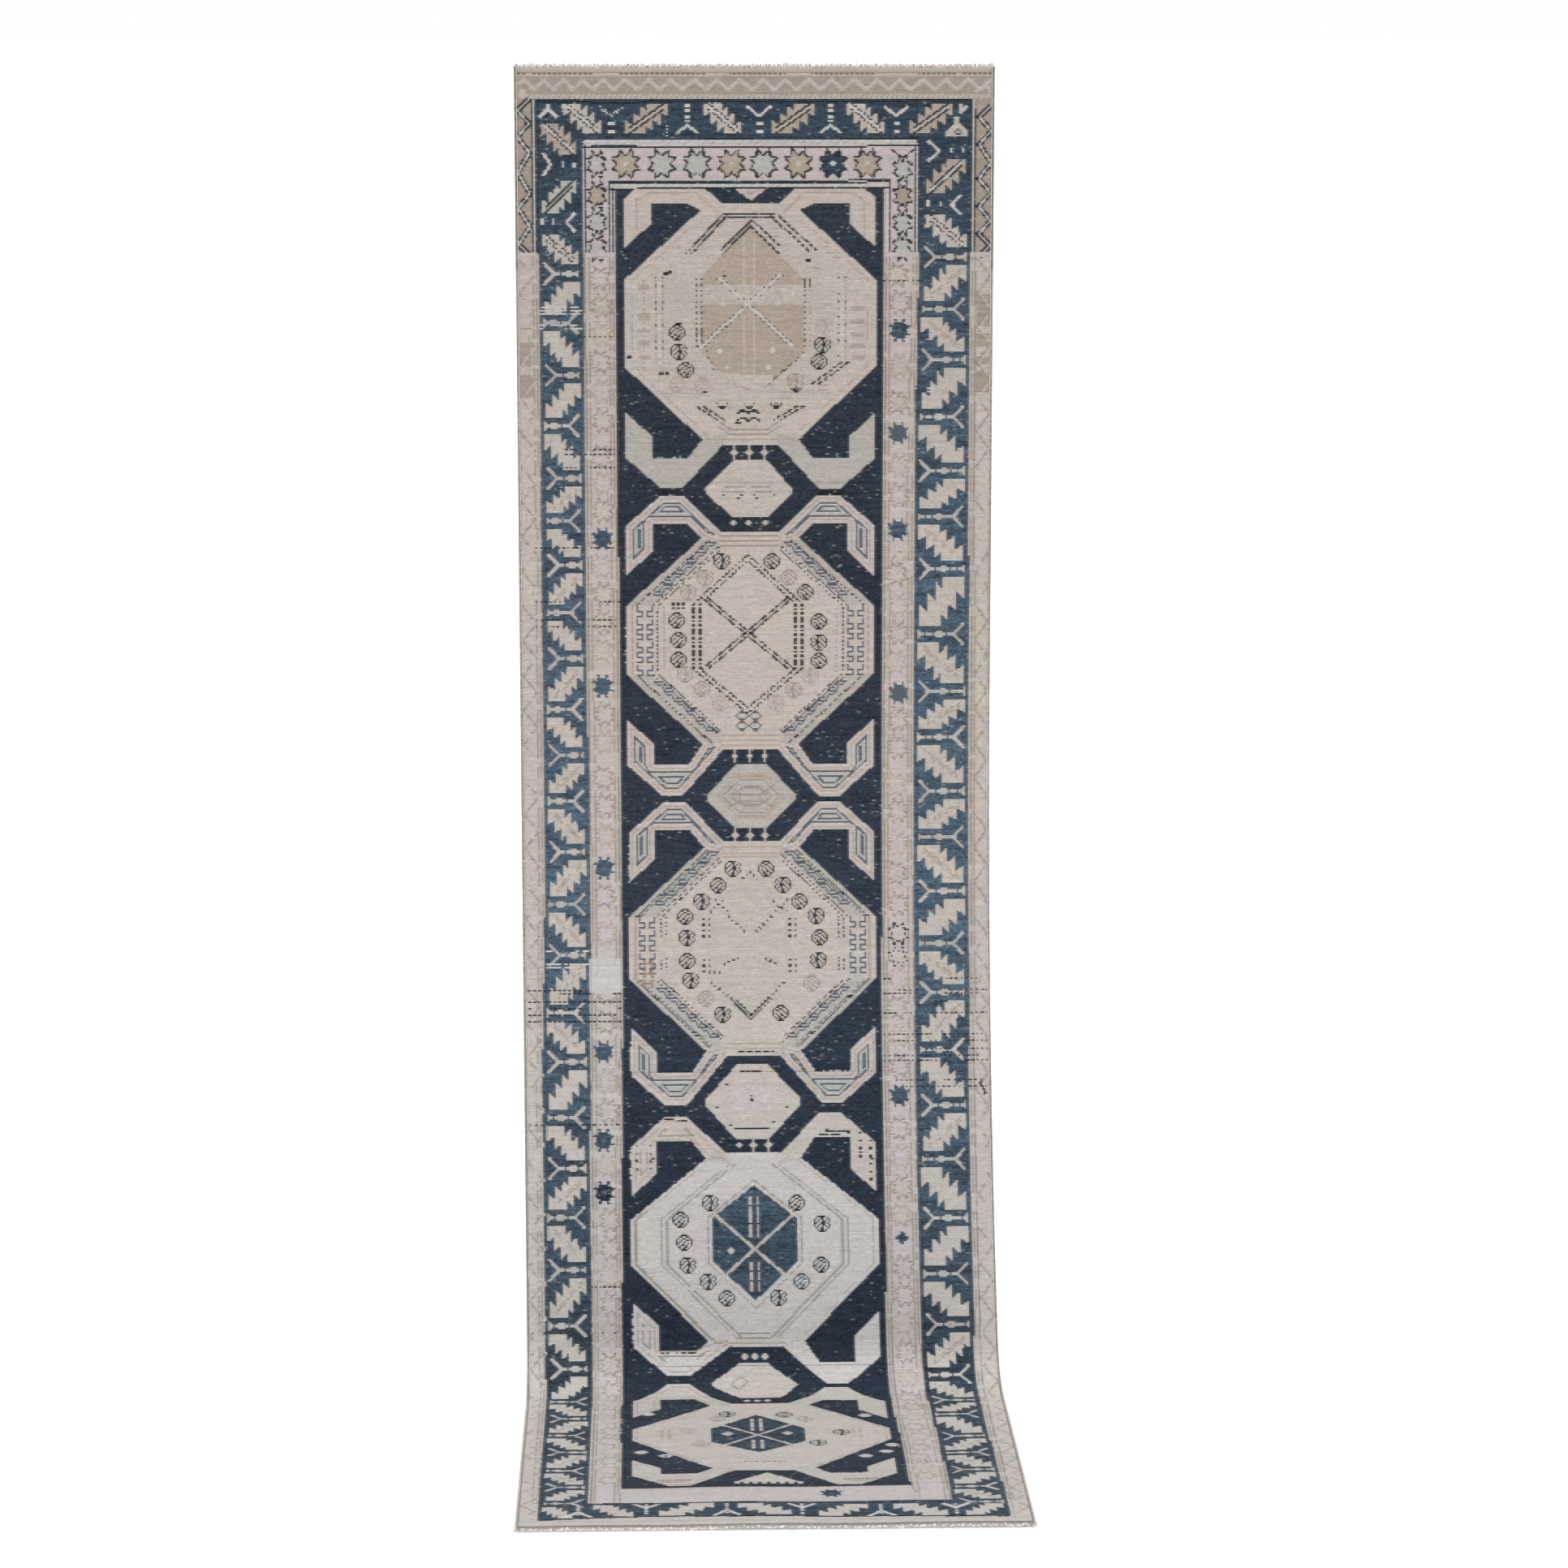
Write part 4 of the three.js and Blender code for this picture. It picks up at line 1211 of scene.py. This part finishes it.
# %% The cotton web
def web_slab(name, c0, c1, s0, s1, low, high, material, columns, rows):
    """A thin closed sheet between two heights."""
    xs, ss = np.linspace(across(c0), across(c1), columns + 1), np.linspace(s0, s1, rows + 1)
    xs, ss = np.meshgrid(xs, ss)
    count = xs.size
    points = np.concatenate([hang(xs, ss, high).reshape(-1, 3), hang(xs, ss, low).reshape(-1, 3)])
    corner = np.arange(count).reshape(rows + 1, columns + 1)
    top = np.stack([corner[:-1, :-1], corner[1:, :-1], corner[1:, 1:], corner[:-1, 1:]], -1).reshape(-1, 4)
    rim = np.concatenate([corner[:, 0], corner[-1, 1:], corner[-2::-1, -1], corner[0, -2:0:-1]])
    ahead = np.roll(rim, -1)
    wall = np.stack([rim, rim + count, ahead + count, ahead], -1)
    faces = np.concatenate([top, top[:, ::-1] + count, wall])
    piece = new_piece(name, points, faces, material)
    place = np.stack([(xs.reshape(-1) + WIDTH / 2) / COL_PITCH, ss.reshape(-1) / ROW_PITCH], -1)
    place = np.concatenate([place, place])
    us, vs = place[faces][..., 0], place[faces][..., 1]
    add_uv(piece.data, "knots", np.stack([us, vs], -1))
    first_u, first_v = place[:, 0].min(), place[:, 1].min()
    flat_uv = folded(us - first_u, vs - first_v, int(c1 - c0) + 1, int((s1 - s0) / ROW_PITCH) + 1)
    side = np.concatenate([np.zeros(len(top)), np.ones(len(top)), np.zeros(len(wall))])[:, None]
    flat_uv[..., 0] = flat_uv[..., 0] * 0.5 + 0.5 * side
    add_uv(piece.data, "OFBake", flat_uv)
    return piece


web = web_slab("cotton_web", 1.72, 280.28, 0.0118, 3.3412, 0.0006, 0.0028, web_cotton, 60, 220)
end_webs = [web_slab("upper_web_end", 1.72, 280.28, 0.0026, 0.0136, 0.0004, 0.0033, web_cotton, 90, 4),
            web_slab("lower_web_end", 1.72, 280.28, 3.3386, 3.3474, 0.0004, 0.0033, web_cotton, 90, 4)]
print("web faces:", len(web.data.polygons))

# %% The pile and the backs of the knots
TOPS, BOTTOMS, LEFTS, RIGHTS = (4, 20, 47, 75), (975, 1005, 1036, 1043), (2, 14, 41, 59), (218, 238, 271, 280)
tied = {}
for i in range(5):
    first = TOPS[3] + 180 * i
    tied[f"field_pile_{i + 1}"] = knot_cloth(f"field_pile_{i + 1}", (LEFTS[3], RIGHTS[0], first, first + 180),
                                             pile_wool)
for ring_name, k in (("guard", 0), ("leaf", 1), ("star", 2)):
    top, bottom = (TOPS[k], TOPS[k + 1]), (BOTTOMS[2 - k], BOTTOMS[3 - k])
    left, right = (LEFTS[k], LEFTS[k + 1]), (RIGHTS[2 - k], RIGHTS[3 - k])
    for side, box in (("top", (left[0], right[1], *top)), ("bottom", (left[0], right[1], *bottom)),
                      ("left", (*left, top[1], bottom[0])), ("right", (*right, top[1], bottom[0]))):
        name = f"{ring_name}_pile_{side}"
        tied[name] = knot_cloth(name, box, pile_wool)
back_rows = (4, 264, 524, 784, 1043)
backs = [knot_cloth(f"knot_backs_{i + 1}", (2, 280, first, last), back_wool, False)
         for i, (first, last) in enumerate(zip(back_rows, back_rows[1:]))]
print("pieces of pile:", len(tied), "faces:", sum(len(p.data.polygons) for p in tied.values()))

# %% [markdown]
# ## Overcast sides and twined ends
#
# The two long sides are a cord wrapped in wool, stitch beside stitch, and a two-ply cord is twined
# across each end to lock the last weft. Both are one loop of yarn repeated along a path, so one
# Geometry Nodes tree makes both. It resamples a path to the pitch, sets a loop on each point, tilts
# it and varies it a little. The loop has only eight segments of five sides, because it is repeated
# more than a thousand times.

# %% A tree that winds yarn along a path
SOCKETS = {tuple: "NodeSocketVector", int: "NodeSocketInt", float: "NodeSocketFloat"}


def new_tree(name, sizes):
    """A Geometry Nodes tree with a geometry input, named number inputs and a material."""
    tree = bpy.data.node_groups.new(name, "GeometryNodeTree")
    tree.interface.new_socket("Geometry", in_out="INPUT", socket_type="NodeSocketGeometry")
    for label, value in sizes.items():
        kind = SOCKETS[type(value)]
        tree.interface.new_socket(label, in_out="INPUT", socket_type=kind).default_value = value
    tree.interface.new_socket("Yarn", in_out="INPUT", socket_type="NodeSocketMaterial")
    tree.interface.new_socket("Geometry", in_out="OUTPUT", socket_type="NodeSocketGeometry")
    return tree, tree.nodes.new("NodeGroupInput"), tree.nodes.new("NodeGroupOutput")


def add_node(tree, kind, settings=None, **inputs):
    """Adds a node; an input is a value or the output that feeds it, under its name or as i and its number."""
    node = tree.nodes.new(kind)
    for key, value in (settings or {}).items():
        setattr(node, key, value)
    for key, value in inputs.items():
        numbered = key[0] == "i" and key[1:].isdigit()
        socket = node.inputs[int(key[1:]) if numbered else key.replace("_", " ")]
        if isinstance(value, bpy.types.NodeSocket):
            tree.links.new(value, socket)
        else:
            socket.default_value = value
    return node


def wound_yarn_tree():
    sizes = {"Pitch": 0.0032, "Loop": 0.0019, "Thickness": 0.0007, "Tilt": 0.2, "Seed": 1}
    tree, given, result = new_tree("wound_yarn", sizes)
    size = given.outputs
    path = add_node(tree, "GeometryNodeResampleCurve", {"mode": "LENGTH"}, Curve=size["Geometry"],
                    Length=size["Pitch"])
    loop = add_node(tree, "GeometryNodeCurvePrimitiveCircle", None, Resolution=8, Radius=size["Loop"])
    yarn = add_node(tree, "GeometryNodeCurvePrimitiveCircle", None, Resolution=5, Radius=size["Thickness"])
    stitch = add_node(tree, "GeometryNodeCurveToMesh", None, Curve=loop.outputs["Curve"],
                      Profile_Curve=yarn.outputs["Curve"])
    along = add_node(tree, "GeometryNodeInputTangent")
    facing = add_node(tree, "FunctionNodeAlignRotationToVector", {"axis": "Z"}, Vector=along.outputs[0])
    chance = add_node(tree, "FunctionNodeRandomValue", {"data_type": "FLOAT"}, i2=-0.09, i3=0.09,
                      Seed=size["Seed"])
    lean = add_node(tree, "ShaderNodeMath", {"operation": "ADD"}, i0=size["Tilt"], i1=chance.outputs[1])
    turn = add_node(tree, "ShaderNodeCombineXYZ", None, X=lean.outputs[0])
    tilted = add_node(tree, "FunctionNodeRotateRotation", {"rotation_space": "LOCAL"},
                      Rotation=facing.outputs[0], Rotate_By=turn.outputs[0])
    girth = add_node(tree, "FunctionNodeRandomValue", {"data_type": "FLOAT"}, i2=0.94, i3=1.06,
                     Seed=size["Seed"])
    wound = add_node(tree, "GeometryNodeInstanceOnPoints", None, Points=path.outputs[0],
                     Instance=stitch.outputs[0], Rotation=tilted.outputs[0], Scale=girth.outputs[1])
    real = add_node(tree, "GeometryNodeRealizeInstances", None, Geometry=wound.outputs[0])
    dyed = add_node(tree, "GeometryNodeSetMaterial", None, Geometry=real.outputs[0], Material=size["Yarn"])
    tree.links.new(dyed.outputs[0], result.inputs[0])
    return tree


def path_curve(name, points):
    """A curve through some points, for a tree to work on."""
    curve = bpy.data.curves.new(name, "CURVE")
    curve.dimensions = "3D"
    spline = curve.splines.new("POLY")
    spline.points.add(len(points) - 1)
    weighted = np.concatenate([points, np.ones((len(points), 1))], 1)
    spline.points.foreach_set("co", weighted.astype(np.float32).ravel())
    holder = bpy.data.objects.new(name, curve)
    bpy.context.scene.collection.objects.link(holder)
    return holder


def grow(name, holder, tree, yarn, sizes, tints):
    """Runs a tree on an object and keeps the result as a plain mesh, dyed in small groups of faces."""
    modifier = holder.modifiers.new(tree.name, "NODES")
    modifier.node_group = tree
    settings = {**sizes, "Yarn": yarn}
    for item in tree.interface.items_tree:
        if item.item_type == "SOCKET" and item.in_out == "INPUT" and item.name in settings:
            modifier[item.identifier] = settings[item.name]
    bpy.context.view_layer.update()
    mesh = bpy.data.meshes.new_from_object(holder.evaluated_get(bpy.context.evaluated_depsgraph_get()))
    holder.modifiers.clear()
    bpy.data.objects.remove(holder)
    mesh.name = name
    piece = bpy.data.objects.new(name, mesh)
    bpy.context.scene.collection.objects.link(piece)
    mesh.polygons.foreach_set("use_smooth", np.full(len(mesh.polygons), True))
    lengths, group, seed = tints
    rng = np.random.default_rng(seed)
    stitches = len(mesh.polygons) // group + 1
    colours = linear(lengths)[np.arange(stitches) * len(lengths) // stitches]
    choice = rng.integers(0, colours.shape[1], stitches)
    tint = colours[np.arange(stitches), choice] * rng.uniform(0.86, 1.08, (stitches, 1))
    add_wool(mesh, tint[np.arange(len(mesh.polygons)) // group])
    return piece


def lay_out_stitches(piece, group):
    """A bake map for many small groups of faces: a square of cells with one group in each."""
    mesh = piece.data
    faces = len(mesh.polygons)
    groups = faces // group + (faces % group > 0)
    side = math.ceil(math.sqrt(groups))
    inner = math.ceil(math.sqrt(group))
    corners = corner_counts(mesh)
    which, within = np.divmod(np.arange(faces), group)
    base = np.stack([(which % side + (within % inner) / inner) / side,
                     (which // side + (within // inner) / inner) / side], -1)
    place = np.concatenate([np.arange(n) for n in corners]) / corners.repeat(corners)
    turn = place * 2 * math.pi + math.pi / 4
    round_it = 0.5 + 0.62 * np.stack([np.cos(turn), np.sin(turn)], -1)
    add_uv(mesh, "OFBake", base.repeat(corners, 0) + np.clip(round_it, 0.08, 0.92) / (side * inner))


yarn_tree = wound_yarn_tree()
SIDE_CORD, CORD_HEIGHT = 0.4473, 0.0027     # metres from the middle of the rug, and out from its back
STITCH_FACES = 40                           # faces in one loop of yarn
# Tints of the overcast sides, one list for each length down the rug: the last two, where the sides lie on the
# floor, are painted lighter, which is painted light.
EDGE_TINTS_AND_FLOOR_LIGHT = [[(138, 127, 115), (148, 136, 124), (130, 120, 109)]]
EDGE_TINTS_AND_FLOOR_LIGHT += 6 * [[(168, 159, 150), (176, 167, 158), (160, 151, 142)]]
EDGE_TINTS_AND_FLOOR_LIGHT += 2 * [[(186, 178, 169), (193, 186, 178), (178, 170, 161)]]
sides = []
for name, x in (("selvedge_left", -SIDE_CORD), ("selvedge_right", SIDE_CORD)):
    holder = path_curve(name, hang(x, np.linspace(0.0035, LENGTH - 0.0035, 900), CORD_HEIGHT))
    piece = grow(name, holder, yarn_tree, selvedge_wool,
                 {"Pitch": 0.0021, "Loop": 0.0020, "Thickness": 0.0008, "Tilt": 0.42, "Seed": 3},
                 (EDGE_TINTS_AND_FLOOR_LIGHT, STITCH_FACES, 71))
    lay_out_stitches(piece, STITCH_FACES)
    sides.append(piece)
# The cord at the lower end, lying on the floor, is painted lighter than the one above: painted light.
CORD_TINTS_AND_FLOOR_LIGHT = {"top": [[(176, 169, 158), (166, 158, 147), (112, 101, 90)]],
              "bottom": [[(214, 209, 201), (203, 197, 188), (190, 182, 172)]]}
twined = []
for name, s in (("twined_cord_top", 0.0013), ("twined_cord_bottom", LENGTH - 0.0013)):
    holder = path_curve(name, hang(np.linspace(-WIDTH / 2, WIDTH / 2, 300), s, 0.0014))
    piece = grow(name, holder, yarn_tree, warp_cotton,
                 {"Pitch": 0.0022, "Loop": 0.0008, "Thickness": 0.0006, "Tilt": 0.85, "Seed": 5},
                 (CORD_TINTS_AND_FLOOR_LIGHT[name.rsplit("_", 1)[1]], STITCH_FACES, 72))
    lay_out_stitches(piece, STITCH_FACES)
    twined.append(piece)
print("stitch faces:", [len(p.data.polygons) for p in sides + twined])

# %% Cords inside the overcasting
def tube(name, points, radius, sides_round, material):
    """A closed tube along some points."""
    heading = np.gradient(points, axis=0)
    heading /= np.linalg.norm(heading, axis=1, keepdims=True)
    outward = np.tile([1.0, 0, 0], (len(points), 1))
    upward = np.cross(heading, outward)
    angle = np.arange(sides_round) / sides_round * 2 * math.pi
    sideways = np.cos(angle)[None, :, None] * outward[:, None]
    ring_points = points[:, None] + radius * (sideways + np.sin(angle)[None, :, None] * upward[:, None])
    index = np.arange(len(points) * sides_round).reshape(len(points), sides_round)
    ahead = np.roll(index, -1, 1)
    faces = np.stack([index[:-1], index[1:], ahead[1:], ahead[:-1]], -1).reshape(-1, 4)
    caps = [[row[k], row[k + 1], row[sides_round - 2 - k], row[sides_round - 1 - k]]
            for row in (index[0], index[-1][::-1]) for k in range(sides_round // 2 - 1)]
    piece = new_piece(name, ring_points, np.concatenate([faces, np.array(caps)]), material)
    add_wool(piece.data, np.tile(linear((178, 170, 158)), (len(piece.data.polygons), 1)))
    lay_out_stitches(piece, sides_round)
    return piece


along_side = np.linspace(0.0, LENGTH, 500) * 0.998 + 0.003
cores = [tube(name, hang(x, along_side, CORD_HEIGHT), 0.0014, 6, warp_cotton)
         for name, x in (("side_cord_left", -SIDE_CORD), ("side_cord_right", SIDE_CORD))]

# %% [markdown]
# ## Cut warp ends
#
# Beyond each cord the cotton warps are cut, a short stubble above and a frayed fringe below that
# lies on the floor. A second tree grows a strand on each warp, bends it with noise that grows
# towards its tip, and gives it a round section.

# %% A tree that frays warps
def frayed_warps_tree():
    sizes = {"Strands": 560, "Reach": (0.0, 0.0, 0.005), "Thickness": 0.0005, "Fray": 0.002,
             "Bristle": 90.0, "Seed": 1}
    tree, given, result = new_tree("frayed_warps", sizes)
    size = given.outputs
    path = add_node(tree, "GeometryNodeResampleCurve", {"mode": "COUNT"}, Curve=size["Geometry"],
                    Count=size["Strands"])
    strand = add_node(tree, "GeometryNodeCurvePrimitiveLine", None, End=size["Reach"])
    fine = add_node(tree, "GeometryNodeResampleCurve", {"mode": "COUNT"}, Curve=strand.outputs[0], Count=5)
    uneven = add_node(tree, "FunctionNodeRandomValue", {"data_type": "FLOAT"}, i2=0.35, i3=1.0,
                      Seed=size["Seed"])
    swing = add_node(tree, "FunctionNodeRandomValue", {"data_type": "FLOAT"}, i2=-0.5, i3=0.5,
                     Seed=size["Seed"])
    turn = add_node(tree, "ShaderNodeCombineXYZ", None, Z=swing.outputs[1])
    planted = add_node(tree, "GeometryNodeInstanceOnPoints", None, Points=path.outputs[0],
                       Instance=fine.outputs[0], Rotation=turn.outputs[0], Scale=uneven.outputs[1])
    real = add_node(tree, "GeometryNodeRealizeInstances", None, Geometry=planted.outputs[0])
    share = add_node(tree, "GeometryNodeSplineParameter")
    place = add_node(tree, "GeometryNodeInputPosition")
    noise = add_node(tree, "ShaderNodeTexNoise", {"noise_dimensions": "3D"}, Vector=place.outputs[0],
                     Scale=size["Bristle"], Detail=1.0)
    centred = add_node(tree, "ShaderNodeVectorMath", {"operation": "SUBTRACT"}, i0=noise.outputs["Color"],
                       i1=(0.5, 0.5, 0.12))
    amount = add_node(tree, "ShaderNodeMath", {"operation": "MULTIPLY"}, i0=share.outputs["Factor"],
                      i1=size["Fray"])
    shift = add_node(tree, "ShaderNodeVectorMath", {"operation": "SCALE"}, i0=centred.outputs[0],
                     Scale=amount.outputs[0])
    bent = add_node(tree, "GeometryNodeSetPosition", None, Geometry=real.outputs[0], Offset=shift.outputs[0])
    yarn = add_node(tree, "GeometryNodeCurvePrimitiveCircle", None, Resolution=5, Radius=size["Thickness"])
    body_mesh = add_node(tree, "GeometryNodeCurveToMesh", None, Curve=bent.outputs[0],
                         Profile_Curve=yarn.outputs[0], Fill_Caps=True)
    dyed = add_node(tree, "GeometryNodeSetMaterial", None, Geometry=body_mesh.outputs[0],
                    Material=size["Yarn"])
    tree.links.new(dyed.outputs[0], result.inputs[0])
    return tree


fray_tree = frayed_warps_tree()
# The fringe on the floor is painted near white, lighter than the stubble above: painted light.
FRINGE_TINTS_AND_FLOOR_LIGHT = {"top": [[(176, 169, 158), (160, 152, 141), (190, 184, 174), (128, 118, 107)]],
                "bottom": [[(236, 233, 227), (222, 217, 209), (242, 240, 236), (190, 182, 172)]]}
STRAND_FACES = 22                           # faces in one strand with its two ends
fringes = []
for name, s, h, reach, thick, fray, count in (
        ("frayed_ends_top", 0.0006, 0.0016, (0.0, -0.0006, 0.0046), 0.00062, 0.006, 560),
        ("frayed_ends_bottom", LENGTH - 0.0005, 0.0018, (0.0, -0.0145, 0.0), 0.00100, 0.012, 330)):
    holder = path_curve(name, hang(np.linspace(-WIDTH / 2 + 0.003, WIDTH / 2 - 0.003, 400), s, h))
    piece = grow(name, holder, fray_tree, warp_cotton, {"Strands": count, "Reach": reach, "Thickness": thick,
                                                        "Fray": fray, "Bristle": 160.0, "Seed": 9},
                 (FRINGE_TINTS_AND_FLOOR_LIGHT[name.rsplit("_", 1)[1]], STRAND_FACES, 73))
    lay_out_stitches(piece, STRAND_FACES)
    fringes.append(piece)
print("fringe faces:", [len(p.data.polygons) for p in fringes])

# %% [markdown]
# ## Telling the frame about the pieces
#
# Nothing moves, so every piece rides on the one body. Each engineering solid is replaced by the
# pieces that stand for it.

# %% Bodies and replacements
for name, piece in tied.items():
    band, side = name.split("_")[0], name.split("_")[-1]
    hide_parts("field_pile" if band == "field" else f"{band}_border_{side}")
for piece in [web, *backs]:
    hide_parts("foundation_weave")
for pair, stem, ends, slot in ((end_webs, "flatweave_end", ("top", "bottom"), "web_cotton"),
                               (sides, "selvedge_overcast", ("left", "right"), "selvedge_wool"),
                               (cores, "selvedge_core", ("left", "right"), "warp_cotton"),
                               (twined, "twined_edge", ("top", "bottom"), "warp_cotton"),
                               (fringes, "fringe", ("top", "bottom"), "warp_cotton")):
    for piece, end in zip(pair, ends):
        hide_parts(f"{stem}_{end}")
others = [*tied.values(), *backs, *end_webs, *sides, *cores, *twined, *fringes]
for piece in [web, *others]:
    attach(piece, "root")

# %% [markdown]
# ## Room, light and camera
#
# The floor is white and the world is white, so the rug stands in even studio light. One broad
# lamp, high up and a little to the front, gives the pile a soft direction. The camera stands just
# above the height of the upper edge and looks down at the middle of the rug.

# %% Floor, light and camera
scene = bpy.context.scene
FLOOR_Z, FLOOR_REACH = -HANGING_HEIGHT - 0.0002, 900
floor = new_piece("floor", [(x * FLOOR_REACH, y * FLOOR_REACH, FLOOR_Z)
                            for x, y in ((-1, -1), (1, -1), (1, 1), (-1, 1))], [(0, 1, 2, 3)])
plaster = Recipe("white_floor")
mottle = plaster.node("ShaderNodeTexNoise", None, {"Scale": 2.0})
floor.data.materials.append(plaster.finish(plaster.mix(mottle * 0.1, (0.97, 0.97, 0.97, 1),
                                                       (0.95, 0.95, 0.95, 1)), 0.9 + 0.02 * mottle, mottle,
                                           0.0001, 0.0, 0.22))
world = bpy.data.worlds.new("studio")
scene.world = world
world.use_nodes = True
world.node_tree.nodes["Background"].inputs["Color"].default_value = (1, 1, 1, 1)
world.node_tree.nodes["Background"].inputs["Strength"].default_value = 1.0
lamp = bpy.data.lights.new("key", "SUN")
lamp.energy, lamp.angle = 1.25, math.radians(50)
key = bpy.data.objects.new("key", lamp)
key.rotation_euler = (0.30, 0.0, 0.0)
scene.collection.objects.link(key)
scene.view_settings.view_transform = "Standard"
lens = bpy.data.cameras.new("camera")
camera = bpy.data.objects.new("camera", lens)
camera.location = (-0.189, -8.27, 0.081)
camera.rotation_euler = (math.radians(90 - 9.89), 0, math.radians(-1.69))
lens.sensor_width, lens.lens = 36.0, 100.3
lens.clip_end = 3000
scene.collection.objects.link(camera)
scene.camera = camera
